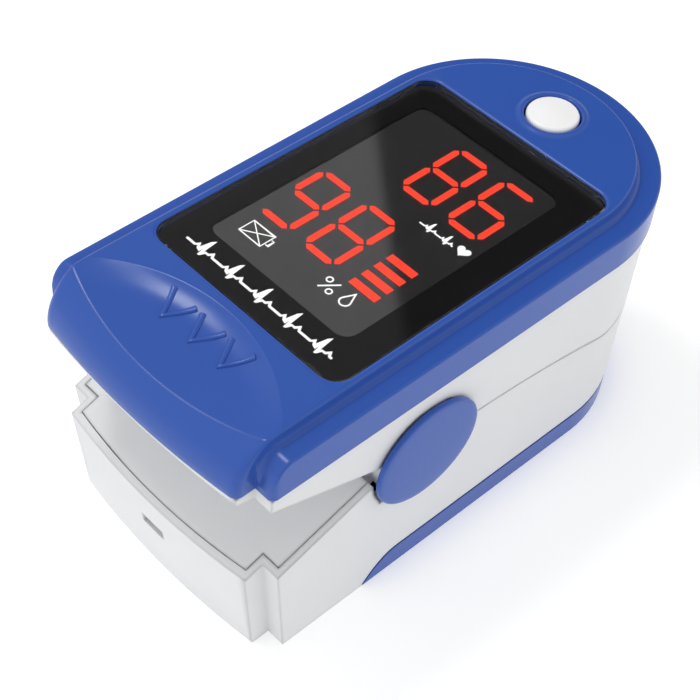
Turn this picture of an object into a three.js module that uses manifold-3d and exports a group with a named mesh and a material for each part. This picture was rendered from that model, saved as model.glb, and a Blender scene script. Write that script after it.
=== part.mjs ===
// Fingertip pulse oximeter: a spring-loaded clamp in two halves, with a red digit display,
// a power button, silicone finger pads, two AAA cells and a sliding battery cover.
// Millimetres. +Z up, -Y is the end that is squeezed, +Y is the end where the finger goes in.
// The origin is under the middle of the body, on the surface that it rests on.
import * as THREE from 'three';
import { mergeVertices } from 'three/addons/utils/BufferGeometryUtils.js';
import Module from 'manifold-3d';

const wasm = await Module();
wasm.setup();

// ---- driving dimensions ---------------------------------------------------------------
const LENGTH = 62.5; // nose to rear of the top cover
const FRONT_WIDTH = 30.8;
const REAR_FLARE = 0.5; // the rounded rear end is this much wider than the front
const NOTCH = 2.1; // square step at each front corner
const NOSE_BOW = 0.9; // how far the front edge bulges between its corners
const GAP = 0.3; // clearance between pieces that touch or seat
const WALL = 1.4;

const COVER_BOTTOM_Z = 25.0; // parting between the top cover and the upper housing
const LEDGE_Z = 28.9; // flat ledge round the raised panel
const PANEL_Z = 30.3; // top of the raised panel
const PANEL_MARGIN = 2.4; // ledge width beside the raised panel
const PANEL_REAR_SETBACK = 0.5; // extra ledge at the rear
const COVER_ROOF = 2.2; // thickness of the panel over the display

const LENS_WIDTH = 24.4;
const LENS_LENGTH = 35.7;
const LENS_SETBACK = 30.2; // nose to the middle of the lens
const LENS_CORNER = 1.8;
const LENS_THICK = 0.9;
const LENS_SHELF = 1.7; // width of the shelf that the lens lies on

const BUTTON_REAR_ROOM = 0.48; // between the button's flange and the cover's wall
const BUTTON_RADIUS = 2.72;
const BUTTON_PROUD = 0.7;
const BUTTON_TRAVEL = 0.5;
const BUTTON_FLANGE = 1.2; // how much wider the retaining flange is

const SCOOP_RADIUS = 19; // plan radius of the thumb pad's rear edge
const SCOOP_LENGTH = 11.2; // nose to the rear edge of the thumb pad
const PAD_REAR_Z = 29.45;
const NOSE_ROLL = 2.1; // length of the rolled nose, up to its crease
const CREASE_Z = 28.95;

const HINGE_SETBACK = 22.1; // nose to the hinge axis
const HINGE_Z = 16.9;
const PIN_RADIUS = 1.5;
const EAR_RADIUS = 5.4; // round ear of the lower housing
const LUG_RADIUS = 4.4; // round lug of the upper housing
const LUG_THICK = 2.0;
const BARREL_RADIUS = 6.05; // curved wall at the back of the squeeze gap
const BARREL_WALL = 1.05;
const CAP_HALF_LENGTH = 6.4;
const CAP_HALF_HEIGHT = 5.8;
const CAP_PROUD = 0.6;
const CAP_THICK = 0.55;

const HOUSING_INSET = 0.25; // white housings sit this far inside the blue cover
const SQUEEZE_SETBACK = 4.6; // nose to the place where the next two heights are set
const SQUEEZE_Z = 22.7; // height of the upper housing's underside there
const DECK_Z = 12.3; // height of the lower deck there
const UNDERSIDE_SLOPE = -0.36;
const DECK_SLOPE = 0.35;
const FLOOR = 1.38;
const DECK_THICK = 1.1;
const DECK_RIM = 0.7; // rim of the lower housing that frames the deck
const LOWER_SETBACK = 1.3; // the lower nose stands behind the cover's nose
const DRAFT = 0.023; // side taper from the cover down to the base
const NOSE_LEAN = 0.027; // the lower nose leans back towards the base
const LEAN_FREE_Z = 11.5;
const PARTING_DROP = 2.84; // fall of the closing line from the hinge to the rear
const PARTING_RISE = 0.36; // how far the closing line first climbs, as the slope of its curve

const ROOF_Z = 22.5; // underside of the roof over the finger channel
const ROOF_THICK = 1.0;
const STOP_SETBACK = 6.15; // hinge axis to the closed end of the finger pads
const PAD_FLOOR = 1.05; // thinnest part of the lower pad, along the middle of the channel
const PAD_CEILING = 1.0; // thinnest part of the upper pad
const CHANNEL_RADIUS = 12;
const PAD_SIDE_ROOM = 0.2; // between a pad and the screw heads beside it
const PAD_REAR_MARGIN = 0.4; // the pads end this far inside the housings' rear face
const PORT_SIDE = 0.6; // the port is this much narrower than the pads on each side
const PORT_FRAME = 0.8; // wall beside the port on the lower housing

const CELL_RADIUS = 5.25; // AAA cell
const CELL_LENGTH = 44.5;
const CELL_NUB = 1.0;
const CELL_ROOM = 0.5; // between the two cells
const CELL_END_ROOM = 1.5; // between the cells' rear end and the round wall
const CELL_FLOOR_ROOM = 0.25; // between the cells and the lower housing's floor
const COVER_PLATE = 1.3; // battery cover floor
const COVER_LIP_Z = 2.7; // top of the battery cover's side lips
const COVER_SETBACK = 16.1; // nose to the front edge of the battery cover
const COVER_LIP_RUN = 4.5; // length over which the lips rise from the base

const COVER_SCREW_SETBACK = 10.15; // hinge axis to the cover's front screws
const FRAME_SCREW_SETBACK = 7.65; // hinge axis to the battery frame's front screws
const REAR_SCREW_SETBACK = 1.9; // middle of the rear arc to the frame's rear screws
const FRAME_THICK = 1.0;
const FRAME_REAR_LENGTH = 11.5; // middle of the rear arc to the frame's rear edge
const BOARD_THICK = 1.0;
const BOARD_HALF_WIDTH = 9.6;
const SCREW_HEAD_RADIUS = 1.2;
const SCREW_RADIUS = 0.6;
const SCREW_HEAD = 0.8;
const BOSS_RADIUS = 1.5;
const WINDOW_WIDTH = 5.4;
const WINDOW_LENGTH = 7.4;
const SENSOR_SETBACK = 14; // closed end of the finger pads to the sensor

// ---- sizes that follow from them ------------------------------------------------------
const FRONT_Y = -LENGTH / 2;
const REAR_Y = LENGTH / 2;
const REAR_WIDTH = FRONT_WIDTH + REAR_FLARE; // also the diameter of the rounded rear end
const REAR_CENTRE_Y = REAR_Y - REAR_WIDTH / 2;
const HINGE_Y = FRONT_Y + HINGE_SETBACK;
const SQUEEZE_Y = FRONT_Y + SQUEEZE_SETBACK;
const LENS_CENTRE_Y = FRONT_Y + LENS_SETBACK;
const SCOOP_REAR_Y = FRONT_Y + SCOOP_LENGTH;
const CREASE_Y = FRONT_Y + NOSE_ROLL;
const COVER_FRONT_Y = FRONT_Y + COVER_SETBACK;
const CHANNEL_START_Y = HINGE_Y + STOP_SETBACK;
const SENSOR_Y = CHANNEL_START_Y + SENSOR_SETBACK;
const NOSE_HALF = FRONT_WIDTH / 2 - NOTCH;
const PANEL_HALF = REAR_WIDTH / 2 - PANEL_MARGIN;
const FLANGE_RADIUS = BUTTON_RADIUS + BUTTON_FLANGE;
const BUTTON_Y = REAR_CENTRE_Y - PANEL_REAR_SETBACK + PANEL_HALF - WALL - FLANGE_RADIUS - BUTTON_REAR_ROOM;
const HOUSING_TOP_Z = COVER_BOTTOM_Z - GAP;
const CAVITY_TOP_Z = PANEL_Z - COVER_ROOF;
const COVER_CAVITY_Z = LEDGE_Z - WALL;
const INNER_HALF = FRONT_WIDTH / 2 - HOUSING_INSET - WALL;
const FLOOR_END_RADIUS = BARREL_RADIUS + GAP;
const SCREW_X = INNER_HALF - BOSS_RADIUS - 0.05;
const PAD_HALF_WIDTH = SCREW_X - SCREW_HEAD_RADIUS - PAD_SIDE_ROOM;
const PORT_HALF_WIDTH = PAD_HALF_WIDTH - PORT_SIDE;
const CELL_SPACING = 2 * CELL_RADIUS + CELL_ROOM;
const CELL_OUTER_X = CELL_SPACING / 2 + CELL_RADIUS;
const CELL_REAR_Y = REAR_CENTRE_Y - CELL_END_ROOM
  + Math.sqrt((REAR_WIDTH / 2 - HOUSING_INSET - WALL - GAP) ** 2 - CELL_OUTER_X ** 2);
const CELL_Z = WALL + CELL_FLOOR_ROOM + CELL_RADIUS;
const FRAME_Z = CELL_Z + CELL_RADIUS + GAP;
const PAD_SEAT_Z = FRAME_Z + FRAME_THICK + GAP;
const PAD_ROOF_Z = ROOF_Z - GAP;
const CHANNEL_FLOOR_Z = PAD_SEAT_Z + PAD_FLOOR;
const CHANNEL_ROOF_Z = PAD_ROOF_Z - PAD_CEILING;
const PORT_Z = (PAD_SEAT_Z + PAD_ROOF_Z) / 2;
const PORT_HALF_HEIGHT = (PAD_ROOF_Z - PAD_SEAT_Z) / 2 + GAP;
const BOARD_Z = ROOF_Z + ROOF_THICK + 0.6;
const BOARD_TOP_Z = BOARD_Z + BOARD_THICK;
const LUG_OUTER_X = INNER_HALF - 0.85;
const LUG_INNER_X = LUG_OUTER_X - LUG_THICK;
const CAP_INNER_X = FRONT_WIDTH / 2 + CAP_PROUD - CAP_THICK;
const FAR = 80; // reach of cutting solids
const ARC_STEPS = 20;

const undersideZ = (y) => SQUEEZE_Z + UNDERSIDE_SLOPE * (y - SQUEEZE_Y);
const deckZ = (y) => DECK_Z + DECK_SLOPE * (y - SQUEEZE_Y);
// The closing line of the two housings behind the hinge falls towards the rear, then runs level.
const PARTING_LEVEL_Y = REAR_CENTRE_Y + REAR_SCREW_SETBACK;
function partingZ(y) {
  const run = (Math.min(y, PARTING_LEVEL_Y) - HINGE_Y) / (PARTING_LEVEL_Y - HINGE_Y);
  return HINGE_Z - 0.1 + PARTING_RISE * run - (PARTING_DROP + PARTING_RISE) * run * run;
}

// ---- solid helpers --------------------------------------------------------------------
function toSolid(geometry) {
  const bare = geometry.index ? geometry.toNonIndexed() : geometry.clone();
  bare.deleteAttribute('normal');
  bare.deleteAttribute('uv');
  const merged = mergeVertices(bare, 1e-5);
  const mesh = new wasm.Mesh({
    numProp: 3,
    vertProperties: new Float32Array(merged.attributes.position.array),
    triVerts: new Uint32Array(merged.index.array),
  });
  return new wasm.Manifold(mesh);
}

function toGeometry(solid) {
  const mesh = solid.getMesh();
  const geometry = new THREE.BufferGeometry();
  geometry.setAttribute('position', new THREE.BufferAttribute(new Float32Array(mesh.vertProperties), 3));
  geometry.setIndex(new THREE.BufferAttribute(new Uint32Array(mesh.triVerts), 1));
  geometry.computeVertexNormals();
  return geometry;
}

const union = (...solids) => solids.reduce((a, b) => a.add(b));

function extrude(shape, depth, curveSegments = ARC_STEPS) {
  return new THREE.ExtrudeGeometry(shape, { depth, bevelEnabled: false, curveSegments });
}

// A plan outline (x, y) raised from z0 to z1.
function raise(shape, z0, z1, curveSegments) {
  return extrude(shape, z1 - z0, curveSegments).translate(0, 0, z0);
}

// A side profile drawn in (y, z), run from x0 to x1.
function runAcross(shape, x0, x1, curveSegments) {
  const turn = new THREE.Matrix4().makeBasis(
    new THREE.Vector3(0, 1, 0), new THREE.Vector3(0, 0, 1), new THREE.Vector3(1, 0, 0));
  return extrude(shape, x1 - x0, curveSegments).applyMatrix4(turn).translate(x0, 0, 0);
}

function block(x0, x1, y0, y1, z0, z1) {
  const geometry = new THREE.BoxGeometry(x1 - x0, y1 - y0, z1 - z0);
  return toSolid(geometry.translate((x0 + x1) / 2, (y0 + y1) / 2, (z0 + z1) / 2));
}

function disc(radius, squash = 1) {
  const shape = new THREE.Shape();
  shape.absellipse(0, 0, radius, radius * squash, 0, 2 * Math.PI);
  return shape;
}

function upright(radius, x, y, z0, z1, segments = 12) {
  return toSolid(raise(disc(radius), z0, z1, segments).translate(x, y, 0));
}

// A round bar along X between x0 and x1, in either order.
function crossBar(radius, x0, x1, y, z, segments = 12) {
  const bar = runAcross(disc(radius), Math.min(x0, x1), Math.max(x0, x1), segments);
  return toSolid(bar.translate(0, y, z));
}

function lengthwise(radius, x, z, y0, y1, segments = 12) {
  const bar = extrude(disc(radius), y1 - y0, segments).rotateX(-Math.PI / 2);
  return toSolid(bar.translate(x, y0, z));
}

function polygon(points) {
  return new THREE.Shape(points.map(([u, v]) => new THREE.Vector2(u, v)));
}

const sideBlock = (side, x0, x1, ...rest) =>
  block(Math.min(side * x0, side * x1), Math.max(side * x0, side * x1), ...rest);

function tube(curve, radius, steps, sides = 2) {
  return new THREE.ExtrudeGeometry(disc(radius), {
    steps, bevelEnabled: false, extrudePath: curve, curveSegments: sides * 2,
  });
}

// ---- outlines -------------------------------------------------------------------------
// Body outline seen from above: bowed nose between stepped corners, round rear end.
function bodyOutline(inset, setback = 0) {
  const noseHalf = NOSE_HALF - inset;
  const noseY = FRONT_Y + NOSE_BOW + setback + inset;
  const notchY = noseY + NOTCH;
  const frontHalf = FRONT_WIDTH / 2 - inset;
  const rearRadius = REAR_WIDTH / 2 - inset;
  const bowRadius = (noseHalf ** 2 + NOSE_BOW ** 2) / (2 * NOSE_BOW);
  const bowAngle = Math.asin(noseHalf / bowRadius);
  const down = -Math.PI / 2;
  const shape = new THREE.Shape();
  shape.moveTo(-noseHalf, noseY);
  shape.absarc(0, noseY - NOSE_BOW + bowRadius, bowRadius, down - bowAngle, down + bowAngle, false);
  shape.lineTo(noseHalf, notchY);
  shape.lineTo(frontHalf, notchY);
  shape.lineTo(rearRadius, REAR_CENTRE_Y);
  shape.absarc(0, REAR_CENTRE_Y, rearRadius, 0, Math.PI, false);
  shape.lineTo(-frontHalf, notchY);
  shape.lineTo(-noseHalf, notchY);
  return shape;
}

function panelOutline(inset) {
  const half = PANEL_HALF - inset;
  const frontY = FRONT_Y + NOSE_BOW + NOTCH + inset;
  const centreY = REAR_CENTRE_Y - PANEL_REAR_SETBACK;
  const shape = new THREE.Shape();
  shape.moveTo(-half, frontY);
  shape.lineTo(half, frontY);
  shape.lineTo(half, centreY);
  shape.absarc(0, centreY, half, 0, Math.PI, false);
  shape.lineTo(-half, frontY);
  return shape;
}

function roundedPlate(width, length, corner) {
  const x = width / 2;
  const y = length / 2;
  const shape = new THREE.Shape();
  shape.moveTo(-x + corner, -y);
  shape.absarc(x - corner, -y + corner, corner, -Math.PI / 2, 0, false);
  shape.absarc(x - corner, y - corner, corner, 0, Math.PI / 2, false);
  shape.absarc(-x + corner, y - corner, corner, Math.PI / 2, Math.PI, false);
  shape.absarc(-x + corner, -y + corner, corner, Math.PI, 1.5 * Math.PI, false);
  return shape;
}

// Draft of the white housings: the sides close in below the cover and the nose leans back.
function drafted(geometry, lean) {
  const position = geometry.attributes.position;
  for (let i = 0; i < position.count; i += 1) {
    const z = position.getZ(i);
    const sideScale = 1 - DRAFT * (1 - z / COVER_BOTTOM_Z);
    const noseScale = 1 - lean * (1 - z / LEAN_FREE_Z);
    const fromRear = position.getY(i) - REAR_CENTRE_Y;
    position.setX(i, position.getX(i) * sideScale);
    position.setY(i, REAR_CENTRE_Y + fromRear * (fromRear > 0 ? sideScale : noseScale));
  }
  return geometry;
}

const draftedBody = (inset, setback, lean, z0, z1) =>
  toSolid(drafted(raise(bodyOutline(inset, setback), z0, z1), lean));

// ---- top cover, lens and button -------------------------------------------------------
// Everything above the thumb pad and its rolled nose, drawn in (y, z) and moved back by shift.
function noseCutter(x0, x1, shift, padZ) {
  const shape = new THREE.Shape();
  shape.moveTo(FRONT_Y - 1 + shift, COVER_BOTTOM_Z + 0.6);
  shape.lineTo(FRONT_Y + shift, COVER_BOTTOM_Z + 0.6);
  shape.quadraticCurveTo(FRONT_Y + 0.1 + shift, CREASE_Z - 1.4, CREASE_Y + shift, CREASE_Z);
  shape.lineTo(SCOOP_REAR_Y + 3 + shift, padZ);
  shape.lineTo(SCOOP_REAR_Y + 3 + shift, PANEL_Z + 1);
  shape.lineTo(FRONT_Y - 1 + shift, PANEL_Z + 1);
  return toSolid(runAcross(shape, x0, x1, 6));
}

function scoopCutter() {
  const centreY = SCOOP_REAR_Y - SCOOP_RADIUS;
  const rim = upright(SCOOP_RADIUS, 0, centreY, COVER_BOTTOM_Z, PANEL_Z + 2, 48);
  return noseCutter(-PANEL_HALF - GAP, PANEL_HALF + GAP, 0, PAD_REAR_Z).intersect(rim);
}

function buttonBore(radius, z0, z1) {
  return upright(radius, 0, BUTTON_Y, z0, z1, 16);
}

const COVER_SCREW_YS = [HINGE_Y + COVER_SCREW_SETBACK, REAR_CENTRE_Y + REAR_SCREW_SETBACK + 0.5];

function topCover() {
  const skirt = toSolid(raise(bodyOutline(0), COVER_BOTTOM_Z, LEDGE_Z));
  const panel = toSolid(raise(panelOutline(0), LEDGE_Z - WALL, PANEL_Z));
  const hollow = toSolid(raise(bodyOutline(WALL), COVER_BOTTOM_Z - 1, COVER_CAVITY_Z));
  const panelHollow = toSolid(raise(panelOutline(WALL), COVER_BOTTOM_Z, CAVITY_TOP_Z));
  const noseFill = block(-FAR, FAR, FRONT_Y - 1, CREASE_Y + WALL, COVER_BOTTOM_Z - 2, PANEL_Z);
  const behindNose = block(-FAR, FAR, SCOOP_REAR_Y + 1, FAR, COVER_CAVITY_Z - 1, CAVITY_TOP_Z);
  const room = union(hollow.subtract(noseFill), panelHollow.intersect(behindNose));
  const recess = roundedPlate(LENS_WIDTH + 2 * GAP, LENS_LENGTH + 2 * GAP, LENS_CORNER + GAP);
  const lensRecess = toSolid(raise(recess, PANEL_Z - LENS_THICK - GAP, PANEL_Z + 1, 6)
    .translate(0, LENS_CENTRE_Y, 0));
  const sight = roundedPlate(LENS_WIDTH - 2 * LENS_SHELF, LENS_LENGTH - 2 * LENS_SHELF, LENS_CORNER);
  const sightHole = toSolid(raise(sight, CAVITY_TOP_Z - 1, PANEL_Z, 6).translate(0, LENS_CENTRE_Y, 0));
  const notchRoll = [-1, 1].map((side) => {
    const cutter = noseCutter(Math.min(side * NOSE_HALF, side * FAR), Math.max(side * NOSE_HALF, side * FAR),
      NOTCH, CREASE_Z);
    return cutter.intersect(block(-FAR, FAR, FRONT_Y - 1, CREASE_Y + NOTCH, 0, FAR));
  });
  let cover = union(skirt, panel).subtract(room).subtract(lensRecess).subtract(sightHole);
  cover = cover.subtract(scoopCutter()).subtract(notchRoll[0]).subtract(notchRoll[1]);
  const noseRoll = noseCutter(-NOSE_HALF, NOSE_HALF, 0, CREASE_Z);
  cover = cover.subtract(noseRoll.intersect(block(-FAR, FAR, FRONT_Y - 1, CREASE_Y, 0, FAR)));
  cover = cover.subtract(buttonBore(BUTTON_RADIUS + GAP, COVER_CAVITY_Z, PANEL_Z + 1));
  for (const side of [-1, 1]) {
    for (const y of COVER_SCREW_YS) {
      const boss = upright(BOSS_RADIUS, side * SCREW_X, y, COVER_BOTTOM_Z + 0.3, COVER_CAVITY_Z + 0.5);
      const pilot = upright(SCREW_RADIUS + GAP, side * SCREW_X, y, COVER_BOTTOM_Z, COVER_CAVITY_Z - 0.2);
      cover = cover.add(boss).subtract(pilot);
    }
  }
  return toGeometry(cover);
}

function displayLens() {
  const plate = raise(roundedPlate(LENS_WIDTH, LENS_LENGTH, LENS_CORNER), PANEL_Z - LENS_THICK, PANEL_Z, 6);
  return plate.translate(0, LENS_CENTRE_Y, 0);
}

const FLANGE_TOP_Z = CAVITY_TOP_Z - GAP;
const FLANGE_THICK = 0.6;

// Domed cap on a round stem, with a flange that keeps it under the cover.
function powerButton() {
  const rimZ = PANEL_Z - 0.15;
  const domeHeight = PANEL_Z + BUTTON_PROUD - rimZ;
  const points = [
    new THREE.Vector2(0, FLANGE_TOP_Z - FLANGE_THICK),
    new THREE.Vector2(FLANGE_RADIUS, FLANGE_TOP_Z - FLANGE_THICK),
    new THREE.Vector2(FLANGE_RADIUS, FLANGE_TOP_Z),
    new THREE.Vector2(BUTTON_RADIUS, FLANGE_TOP_Z),
  ];
  const domeSteps = 6;
  for (let i = 0; i <= domeSteps; i += 1) {
    const angle = (i / domeSteps) * (Math.PI / 2);
    const radius = i === domeSteps ? 0 : BUTTON_RADIUS * Math.cos(angle);
    points.push(new THREE.Vector2(radius, rimZ + domeHeight * Math.sin(angle)));
  }
  return new THREE.LatheGeometry(points, 36).rotateX(Math.PI / 2).translate(0, BUTTON_Y, 0);
}

// ---- upper housing --------------------------------------------------------------------
function upperSideProfile() {
  const frontY = FRONT_Y - 0.5;
  const topZ = HOUSING_TOP_Z + 3;
  const points = [[frontY, topZ], [frontY, undersideZ(frontY)], [HINGE_Y, undersideZ(HINGE_Y)]];
  for (let y = HINGE_Y; y < PARTING_LEVEL_Y; y += 4) points.push([y, partingZ(y) + GAP / 2]);
  points.push([PARTING_LEVEL_Y, partingZ(PARTING_LEVEL_Y) + GAP / 2]);
  points.push([FAR, partingZ(FAR) + GAP / 2], [FAR, topZ]);
  return polygon(points);
}

// The lower housing rises behind the pads to carry the lower half of the finger port.
function portFrame(grow) {
  const halfWidth = PORT_HALF_WIDTH + PORT_FRAME + grow;
  return block(-halfWidth, halfWidth, REAR_CENTRE_Y, FAR, PARTING_LOW_Z - 1, PORT_Z - GAP / 2 + grow);
}

function portCutter(grow) {
  const port = new THREE.Shape();
  port.absellipse(0, 0, PORT_HALF_WIDTH + grow, PORT_HALF_HEIGHT + grow, 0, 2 * Math.PI);
  const startY = REAR_Y - 6.65; // inside the rear wall at the port's widest
  return toSolid(extrude(port, 12, 24).rotateX(-Math.PI / 2).translate(0, startY, PORT_Z));
}

const SLOT_Y = HINGE_Y + 1.2; // where the ribbon cable passes between the halves
const CABLE_HALF_WIDTH = 2;

function upperHousing() {
  const shell = draftedBody(HOUSING_INSET, 0, 0, PARTING_LOW_Z, HOUSING_TOP_Z);
  const profile = toSolid(runAcross(upperSideProfile(), -FAR, FAR));
  let body = shell.intersect(profile).subtract(portFrame(GAP));
  const inside = draftedBody(HOUSING_INSET + WALL, 0, 0, PARTING_LOW_Z - 1, HOUSING_TOP_Z + 1);
  const floorTop = (y) => undersideZ(y) + FLOOR;
  const tray = polygon([
    [FRONT_Y, HOUSING_TOP_Z + 2], [FRONT_Y, floorTop(FRONT_Y)], [HINGE_Y - 2, floorTop(HINGE_Y - 2)],
    [HINGE_Y - 2, ROOF_Z + ROOF_THICK], [FAR, ROOF_Z + ROOF_THICK], [FAR, HOUSING_TOP_Z + 2],
  ]);
  const barrelOuter = crossBar(FLOOR_END_RADIUS + 1.15, -FAR, FAR, HINGE_Y, HINGE_Z, 24)
    .intersect(block(-FAR, FAR, -FAR, FAR, 0, ROOF_Z + ROOF_THICK));
  const trayRoom = toSolid(runAcross(tray, -FAR, FAR)).subtract(barrelOuter);
  const channelRoom = block(-FAR, FAR, HINGE_Y, FAR, 0, ROOF_Z);
  const barrelRoom = crossBar(FLOOR_END_RADIUS, -FAR, FAR, HINGE_Y, HINGE_Z, 24)
    .intersect(block(-FAR, FAR, -FAR, FAR, 0, ROOF_Z));
  const room = union(trayRoom, channelRoom, barrelRoom).intersect(inside);
  body = body.subtract(room);
  for (const side of [-1, 1]) {
    const earRoom = crossBar(EAR_RADIUS + GAP, side * LUG_OUTER_X, side * FAR, HINGE_Y, HINGE_Z, 24);
    body = body.subtract(earRoom);
    const lug = crossBar(LUG_RADIUS, side * LUG_INNER_X, side * LUG_OUTER_X, HINGE_Y, HINGE_Z, 16);
    const web = sideBlock(side, LUG_INNER_X, LUG_OUTER_X, HINGE_Y - 3.2, HINGE_Y + 3.2,
      HINGE_Z, ROOF_Z + ROOF_THICK / 2);
    const bore = crossBar(PIN_RADIUS + GAP, side * (LUG_INNER_X - 1), side * (LUG_OUTER_X + 1),
      HINGE_Y, HINGE_Z);
    body = body.add(lug).add(web).subtract(bore);
    for (const y of COVER_SCREW_YS) {
      body = body.subtract(upright(SCREW_RADIUS + GAP, side * SCREW_X, y, ROOF_Z - 1, HOUSING_TOP_Z));
    }
  }
  body = body.subtract(portCutter(0));
  body = body.subtract(block(-WINDOW_WIDTH / 2, WINDOW_WIDTH / 2, SENSOR_Y - WINDOW_LENGTH / 2,
    SENSOR_Y + WINDOW_LENGTH / 2, ROOF_Z - 1, ROOF_Z + ROOF_THICK + 1));
  body = body.subtract(block(-CABLE_HALF_WIDTH - GAP, CABLE_HALF_WIDTH + GAP, SLOT_Y - 0.6, SLOT_Y + 0.6,
    ROOF_Z - 1, ROOF_Z + ROOF_THICK + 1));
  return toGeometry(body);
}

// ---- lower housing and deck -----------------------------------------------------------
const PARTING_LOW_Z = partingZ(FAR) - 1;
const EAR_OUTER_X = (FRONT_WIDTH / 2 - HOUSING_INSET) * (1 - DRAFT * (1 - HINGE_Z / COVER_BOTTOM_Z)) - 0.05;

function lowerSideProfile() {
  const railEnd = HINGE_Y - FLOOR_END_RADIUS;
  const frontY = FRONT_Y - 1;
  const points = [[frontY, -1], [FAR, -1], [FAR, partingZ(FAR) - GAP / 2]];
  points.push([PARTING_LEVEL_Y, partingZ(PARTING_LEVEL_Y) - GAP / 2]);
  const steps = 5;
  const last = HINGE_Y + EAR_RADIUS - 0.8;
  for (let i = 1; i <= steps; i += 1) {
    const y = PARTING_LEVEL_Y + (last - PARTING_LEVEL_Y) * (i / steps);
    points.push([y, partingZ(y) - GAP / 2]);
  }
  points.push([last, HINGE_Z - 4.2], [railEnd + 1.2, HINGE_Z - 4.2], [railEnd + 0.3, deckZ(railEnd) - 1.5]);
  points.push([railEnd, deckZ(railEnd)], [frontY, deckZ(frontY)]);
  return polygon(points);
}

// Side profile of the battery cover's place: its front rises in a curve to the lip height.
function coverProfile(grow) {
  const top = COVER_LIP_Z + grow;
  const front = COVER_FRONT_Y - grow;
  const shape = new THREE.Shape();
  shape.moveTo(front, -1);
  shape.lineTo(front, 0);
  shape.bezierCurveTo(front + COVER_LIP_RUN * 0.3, top * 0.55, front + COVER_LIP_RUN * 0.6, top,
    front + COVER_LIP_RUN, top);
  shape.lineTo(FAR, top);
  shape.lineTo(FAR, -1);
  return toSolid(runAcross(shape, -FAR, FAR, 6));
}

// The slab that the deck fills, between the deck surface and depth below it.
function deckSlab(depth, endRadius) {
  const far = -FAR;
  const near = HINGE_Y - 2;
  const slab = polygon([
    [far, deckZ(far)], [far, deckZ(far) - depth], [near, deckZ(near) - depth], [near, deckZ(near)],
  ]);
  const barrel = crossBar(endRadius, -FAR, FAR, HINGE_Y, HINGE_Z, 24);
  const ahead = block(-FAR, FAR, -FAR, HINGE_Y - endRadius * 0.8, 0, FAR);
  return toSolid(runAcross(slab, -FAR, FAR)).subtract(barrel).intersect(ahead);
}

function barrelWall(halfWidth) {
  const from = (152 / 180) * Math.PI;
  const to = (212 / 180) * Math.PI;
  const shape = new THREE.Shape();
  shape.absarc(0, 0, BARREL_RADIUS, from, to, false);
  shape.absarc(0, 0, BARREL_RADIUS - BARREL_WALL, to, from, true);
  return toSolid(runAcross(shape, -halfWidth, halfWidth, 6).translate(0, HINGE_Y, HINGE_Z));
}

const FRAME_SCREW_YS = [HINGE_Y + FRAME_SCREW_SETBACK, REAR_CENTRE_Y + REAR_SCREW_SETBACK];
const FRAME_SCREW_LENGTH = 5;
const FRAME_SCREW_HEAD_Z = FRAME_Z + FRAME_THICK + GAP + SCREW_HEAD;
const FRAME_SCREW_TIP_Z = FRAME_SCREW_HEAD_Z - FRAME_SCREW_LENGTH;
const LANYARD_Z = 6.8;

function lowerHousing() {
  const shell = draftedBody(HOUSING_INSET, LOWER_SETBACK, NOSE_LEAN, 0, HINGE_Z + EAR_RADIUS);
  const profile = toSolid(runAcross(lowerSideProfile(), -FAR, FAR));
  let body = shell.intersect(profile.add(portFrame(0)));
  const inside = draftedBody(HOUSING_INSET + WALL, LOWER_SETBACK, NOSE_LEAN, WALL, FAR);
  const rebate = draftedBody(HOUSING_INSET + DECK_RIM, LOWER_SETBACK, NOSE_LEAN, 0, FAR);
  body = body.subtract(inside).subtract(coverProfile(GAP));
  body = body.subtract(rebate.intersect(deckSlab(DECK_THICK + GAP + 0.1, 1)));
  for (const side of [-1, 1]) {
    const ear = crossBar(EAR_RADIUS, side * (INNER_HALF - 0.5), side * EAR_OUTER_X, HINGE_Y, HINGE_Z, 20);
    const bore = crossBar(PIN_RADIUS + GAP, side * (INNER_HALF - 1), side * FAR, HINGE_Y, HINGE_Z);
    body = body.add(ear).subtract(bore);
    for (const y of FRAME_SCREW_YS) {
      const boss = upright(BOSS_RADIUS, side * SCREW_X, y, FRAME_SCREW_TIP_Z - 1.5, FRAME_Z - GAP);
      const pilot = upright(SCREW_RADIUS + GAP, side * SCREW_X, y, FRAME_SCREW_TIP_Z - 0.5, FRAME_Z + 1);
      const cellRoom = lengthwise(CELL_RADIUS + GAP, side * CELL_SPACING / 2, CELL_Z, -FAR, FAR, 20);
      body = body.add(boss.subtract(cellRoom)).subtract(pilot);
    }
  }
  const barrel = barrelWall(INNER_HALF - 0.3);
  body = body.add(barrel).subtract(portCutter(0));
  const lanyard = block(-1.5, 1.5, FRONT_Y, SQUEEZE_Y, LANYARD_Z - 0.6, LANYARD_Z + 0.6);
  return toGeometry(body.subtract(lanyard));
}

function lowerDeck() {
  const plan = draftedBody(HOUSING_INSET + DECK_RIM + GAP, LOWER_SETBACK, NOSE_LEAN, 0, FAR);
  return toGeometry(plan.intersect(deckSlab(DECK_THICK, FLOOR_END_RADIUS)));
}

// ---- hinge ----------------------------------------------------------------------------
const PIN_INNER_X = LUG_INNER_X - 2.6;
const PIN_OUTER_X = EAR_OUTER_X - 0.7;

function hingePin(side) {
  return toGeometry(crossBar(PIN_RADIUS, side * PIN_INNER_X, side * PIN_OUTER_X, HINGE_Y, HINGE_Z, 14));
}

function hingeCap(side) {
  const face = runAcross(disc(CAP_HALF_LENGTH, CAP_HALF_HEIGHT / CAP_HALF_LENGTH), 0, CAP_THICK, 32);
  const start = side > 0 ? CAP_INNER_X : -CAP_INNER_X - CAP_THICK;
  return toGeometry(toSolid(face.translate(start, HINGE_Y, HINGE_Z)));
}

const SPRING_RADIUS = 2.4;
const SPRING_WIRE = 0.35;
const SPRING_TURNS = 2.5;

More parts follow.
